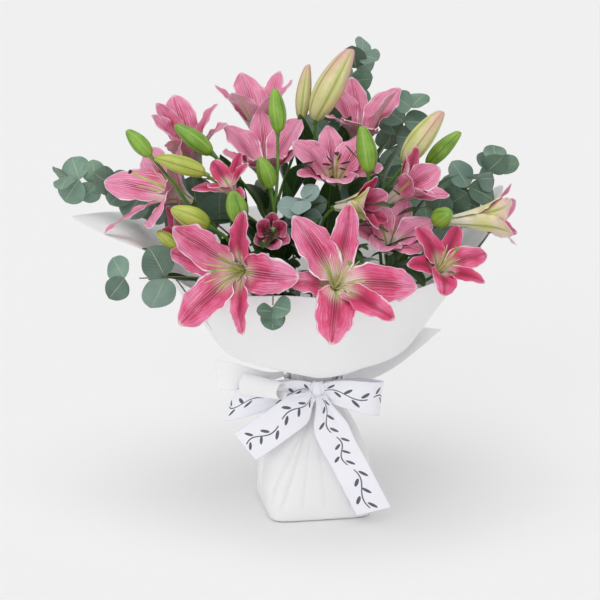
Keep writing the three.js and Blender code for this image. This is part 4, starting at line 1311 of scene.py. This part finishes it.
twine = Finish("twine", Roughness=0.9, Sheen_Weight=0.3)
strand = twine.noise(700.0, 4.0)
twine.set(Base_Color=twine.blend(strand, srgb(140, 108, 66), srgb(196, 164, 112)))
twine.bump(strand, 0.0006, 0.8)
TURNS = 5
TIE_RADIUS = 20.6 * MM
winding = []
for k in range(TURNS * 20 + 1):
    a = 2 * pi * k / 20
    rise = (k / (TURNS * 20) - 0.5) * 7 * MM
    winding.append(Vector((TIE_RADIUS * cos(a), TIE_RADIUS * sin(a), TIE_HEIGHT + rise)))
tie = rod(winding, 0.85 * MM, twine.material, 2)
tie.name = "twine_windings"
finish_piece(tie, "twine", "twine_tie")

# %% [markdown]
# ## Ribbon
# The satin ribbon is 46 mm wide. It goes round the neck as a gathered band, is tied in front, and ends
# in two loops and two tails. Each is a strip laid along a curve, pinched and pleated where it enters the
# knot. The real ribbon is printed with script, and here it carries a plain sprig pattern instead: a wavy
# stem line with leaves, drawn in the strip's own UV map, where V is scaled to the strip's length.

# %% Ribbon finish
RIBBON_WIDTH = 46.0
SPRIG_REPEAT = 56.0  # millimetres of ribbon from one sprig to the next
SPRIG_SWING = 5.0  # how far the stem line waves to each side
SPRIG_LEAVES = [
    # place in the repeat, side of the stem line, lean in radians
    (0.2, 1, 0.75), (0.36, -1, -0.75), (0.56, 1, 0.75), (0.72, -1, -0.75), (0.88, 1, 0.75),
]


def satin_finish(name, length):
    """White satin with a printed sprig that repeats along its length."""
    f = Finish(name, Roughness=0.34, Sheen_Weight=0.4, Sheen_Roughness=0.35, Subsurface_Weight=0.04)
    f.set(Subsurface_Scale=0.002)
    u, v = f.uv()
    x = (u - 0.5) * RIBBON_WIDTH
    y = v * length
    cycle = (y / SPRIG_REPEAT).maths("FRACT", y / SPRIG_REPEAT)
    swing = (cycle * 2 * pi).sine()
    stem = (x - swing * SPRIG_SWING).size().rise(1.15, 0.6)
    marks = stem * (cycle - 0.5).size().rise(0.44, 0.42)
    for middle, side, lean in SPRIG_LEAVES:
        wave = sin(2 * pi * middle) * SPRIG_SWING
        across = x - (wave + side * 6.2)
        along = (cycle - middle) * SPRIG_REPEAT
        turned = across * cos(lean) + along * sin(lean)
        other = along * cos(lean) - across * sin(lean)
        leaf = ((turned / 6.0) ** 2 + (other / 2.0) ** 2).rise(1.12, 0.88)
        marks = marks.most(leaf)
    weft = f.noise(1.0, 2.0, f.vector(u * 30, v * length * 3.0))
    cloud = f.noise(30.0)
    colour = f.blend(cloud, srgb(238, 238, 247), srgb(246, 246, 251))
    selvage = ((u - 0.5).size() * 2).rise(0.94, 0.97)
    colour = f.blend(selvage * 0.4, colour, srgb(222, 222, 238))
    f.set(Base_Color=f.blend(marks * 0.92, colour, srgb(38, 42, 66)))
    f.bump(weft * 0.6 + selvage * 0.8, 0.00035, 0.5)
    return f.material


# %% Ribbon strips
RIBBON_HALF = RIBBON_WIDTH / 2
PINCH = 0.34  # how wide a strip still is where it enters the knot, as a share of its width
PLEAT = 1.8
RIPPLE = 0.72
BAND_INSIDE = NECK + 0.4
KNOT = Vector((4, -(BAND_INSIDE + 0.9 + 0.4 + 6.2), TIE_HEIGHT / MM - 12))


def pinch_both(s):
    return mix(PINCH, 1, np.sin(pi * np.clip(s, 0.0, 1.0)) ** 0.5)


def pinch_start(s):
    return mix(PINCH, 1, smooth(s / 0.3))


def strip_surface(points, edge, pinch):
    """A strip along points given from the knot, its width standing along edge."""
    path = [KNOT + Vector(p) for p in points]

    def surface(s, t):
        middle = through(path, s)
        ahead = through(path, np.clip(s + 0.01, 0, 1)) - through(path, np.clip(s - 0.01, 0, 1))
        way = np.array(edge, float) / np.linalg.norm(edge)
        normal = np.cross(ahead, way)
        normal /= np.linalg.norm(normal, axis=1)[:, None]
        tight = 1 - (pinch(s) - PINCH) / (1 - PINCH)
        fold = PLEAT * tight * np.sin(t * 3.2 * pi) + RIPPLE * (1 - tight) * np.sin(s * 9 + t * 1.6)
        return (middle + way * (t * RIBBON_HALF * pinch(s))[:, None] + normal * fold[:, None]) * MM

    return surface


def ribbon(name, points, edge, pinch):
    surface = strip_surface(points, edge, pinch)
    path = through([Vector(p) for p in points], np.linspace(0, 1, 80))
    length = float(np.linalg.norm(np.diff(path, axis=0), axis=1).sum())
    piece = blade(surface, 16, 60, [satin_finish("satin_" + name, length)])
    thicken(piece, 0.35 * MM, 1)
    piece.name = "bow_" + name
    finish_piece(piece, "satin_ribbon", "ribbon_" + name)
    print(f"ribbon {name}: {length:.0f} mm")


ribbon(
    "loop_right",
    [(6, -1, 1), (36, -14, 0), (70, -14, -6), (84, 2, -10), (64, 10, -8), (36, 6, -3), (8, 3, -1)],
    (0.12, 0, 1), pinch_both,
)
ribbon(
    "loop_left",
    [(-6, 0, 1), (-40, -12, 0), (-86, -10, -12), (-112, 4, -20), (-84, 12, -14), (-44, 8, -4), (-8, 5, -1)],
    (0.35, 0, 1), pinch_both,
)
ribbon(
    "tail_left", [(-5, -7, -3), (-30, -24, -22), (-64, -30, -46), (-92, -30, -66)],
    (0.6, 0, -0.8), pinch_start,
)
ribbon(
    "tail_right", [(5, -7, -4), (22, -30, -50), (44, -36, -92), (74, -34, -152)],
    (0.97, 0, 0.24), pinch_start,
)

# %% Ribbon band and knot
BAND_LOW = TIE_HEIGHT / MM - 29
BAND_HIGH = TIE_HEIGHT / MM - 5


def band_surface(s, t):
    """The band round the neck: s goes up it and t round it, with pleats that run round."""
    a = pi * t
    pleats = 0.35 * np.sin(s * 6 * pi + 1.5 * np.sin(a * 2)) + 0.2 * np.sin(a * 24)
    r = (BAND_INSIDE + 0.6 + pleats * np.sin(pi * s)) * MM
    z = mix(BAND_LOW, BAND_HIGH, s) * MM + 0.0008 * np.sin(a * 3)
    return np.stack([r * np.cos(a), r * np.sin(a), z], axis=1)


satin_plain = Finish("satin_plain", Roughness=0.34, Sheen_Weight=0.4, Sheen_Roughness=0.35)
weft = satin_plain.noise(1400.0, 2.0)
cloud = satin_plain.noise(30.0)
satin_plain.set(Base_Color=satin_plain.blend(cloud, srgb(238, 238, 247), srgb(246, 246, 251)))
satin_plain.bump(weft, 0.0003, 0.4)
band = thicken(blade(band_surface, 120, 12, [satin_plain.material]), 0.35 * MM, 1)
band.name = "bow_band"
finish_piece(band, "satin_ribbon", "ribbon_band")


def knot_surface(s, t):
    """The ribbon's middle, folded over the knot: a barrel with soft pleats that run up and down."""
    a = pi * t
    z = mix(-13.5, 13.5, s)
    bulge = (1 - (z / 15) ** 2) ** 0.5
    pleats = 1 + 0.09 * np.sin(a * 9 + z * 0.12) + 0.04 * np.sin(a * 17)
    x = 10.5 * bulge * pleats * np.cos(a) + 0.12 * z
    y = 5.4 * bulge * pleats * np.sin(a)
    return np.stack([x + KNOT.x, y + KNOT.y, z + KNOT.z], axis=1) * MM


knot = thicken(blade(knot_surface, 72, 14, [satin_plain.material]), 0.5 * MM, 1)
knot.name = "bow_knot"
finish_piece(knot, "satin_ribbon", "ribbon_knot")

# %% [markdown]
# ## The studio floor
# A pale plain floor, far larger than the picture, so that no edge shows.

# %% Floor
deselect()
bpy.ops.mesh.primitive_plane_add(size=60, location=(0, 0, -0.0002))
floor = bpy.context.object
floor.name = "studio_floor"
pale = Finish("studio_paper", Roughness=0.9, Specular_IOR_Level=0.1)
pale.set(Base_Color=srgb(240, 240, 240))
floor.data.materials.append(pale.material)
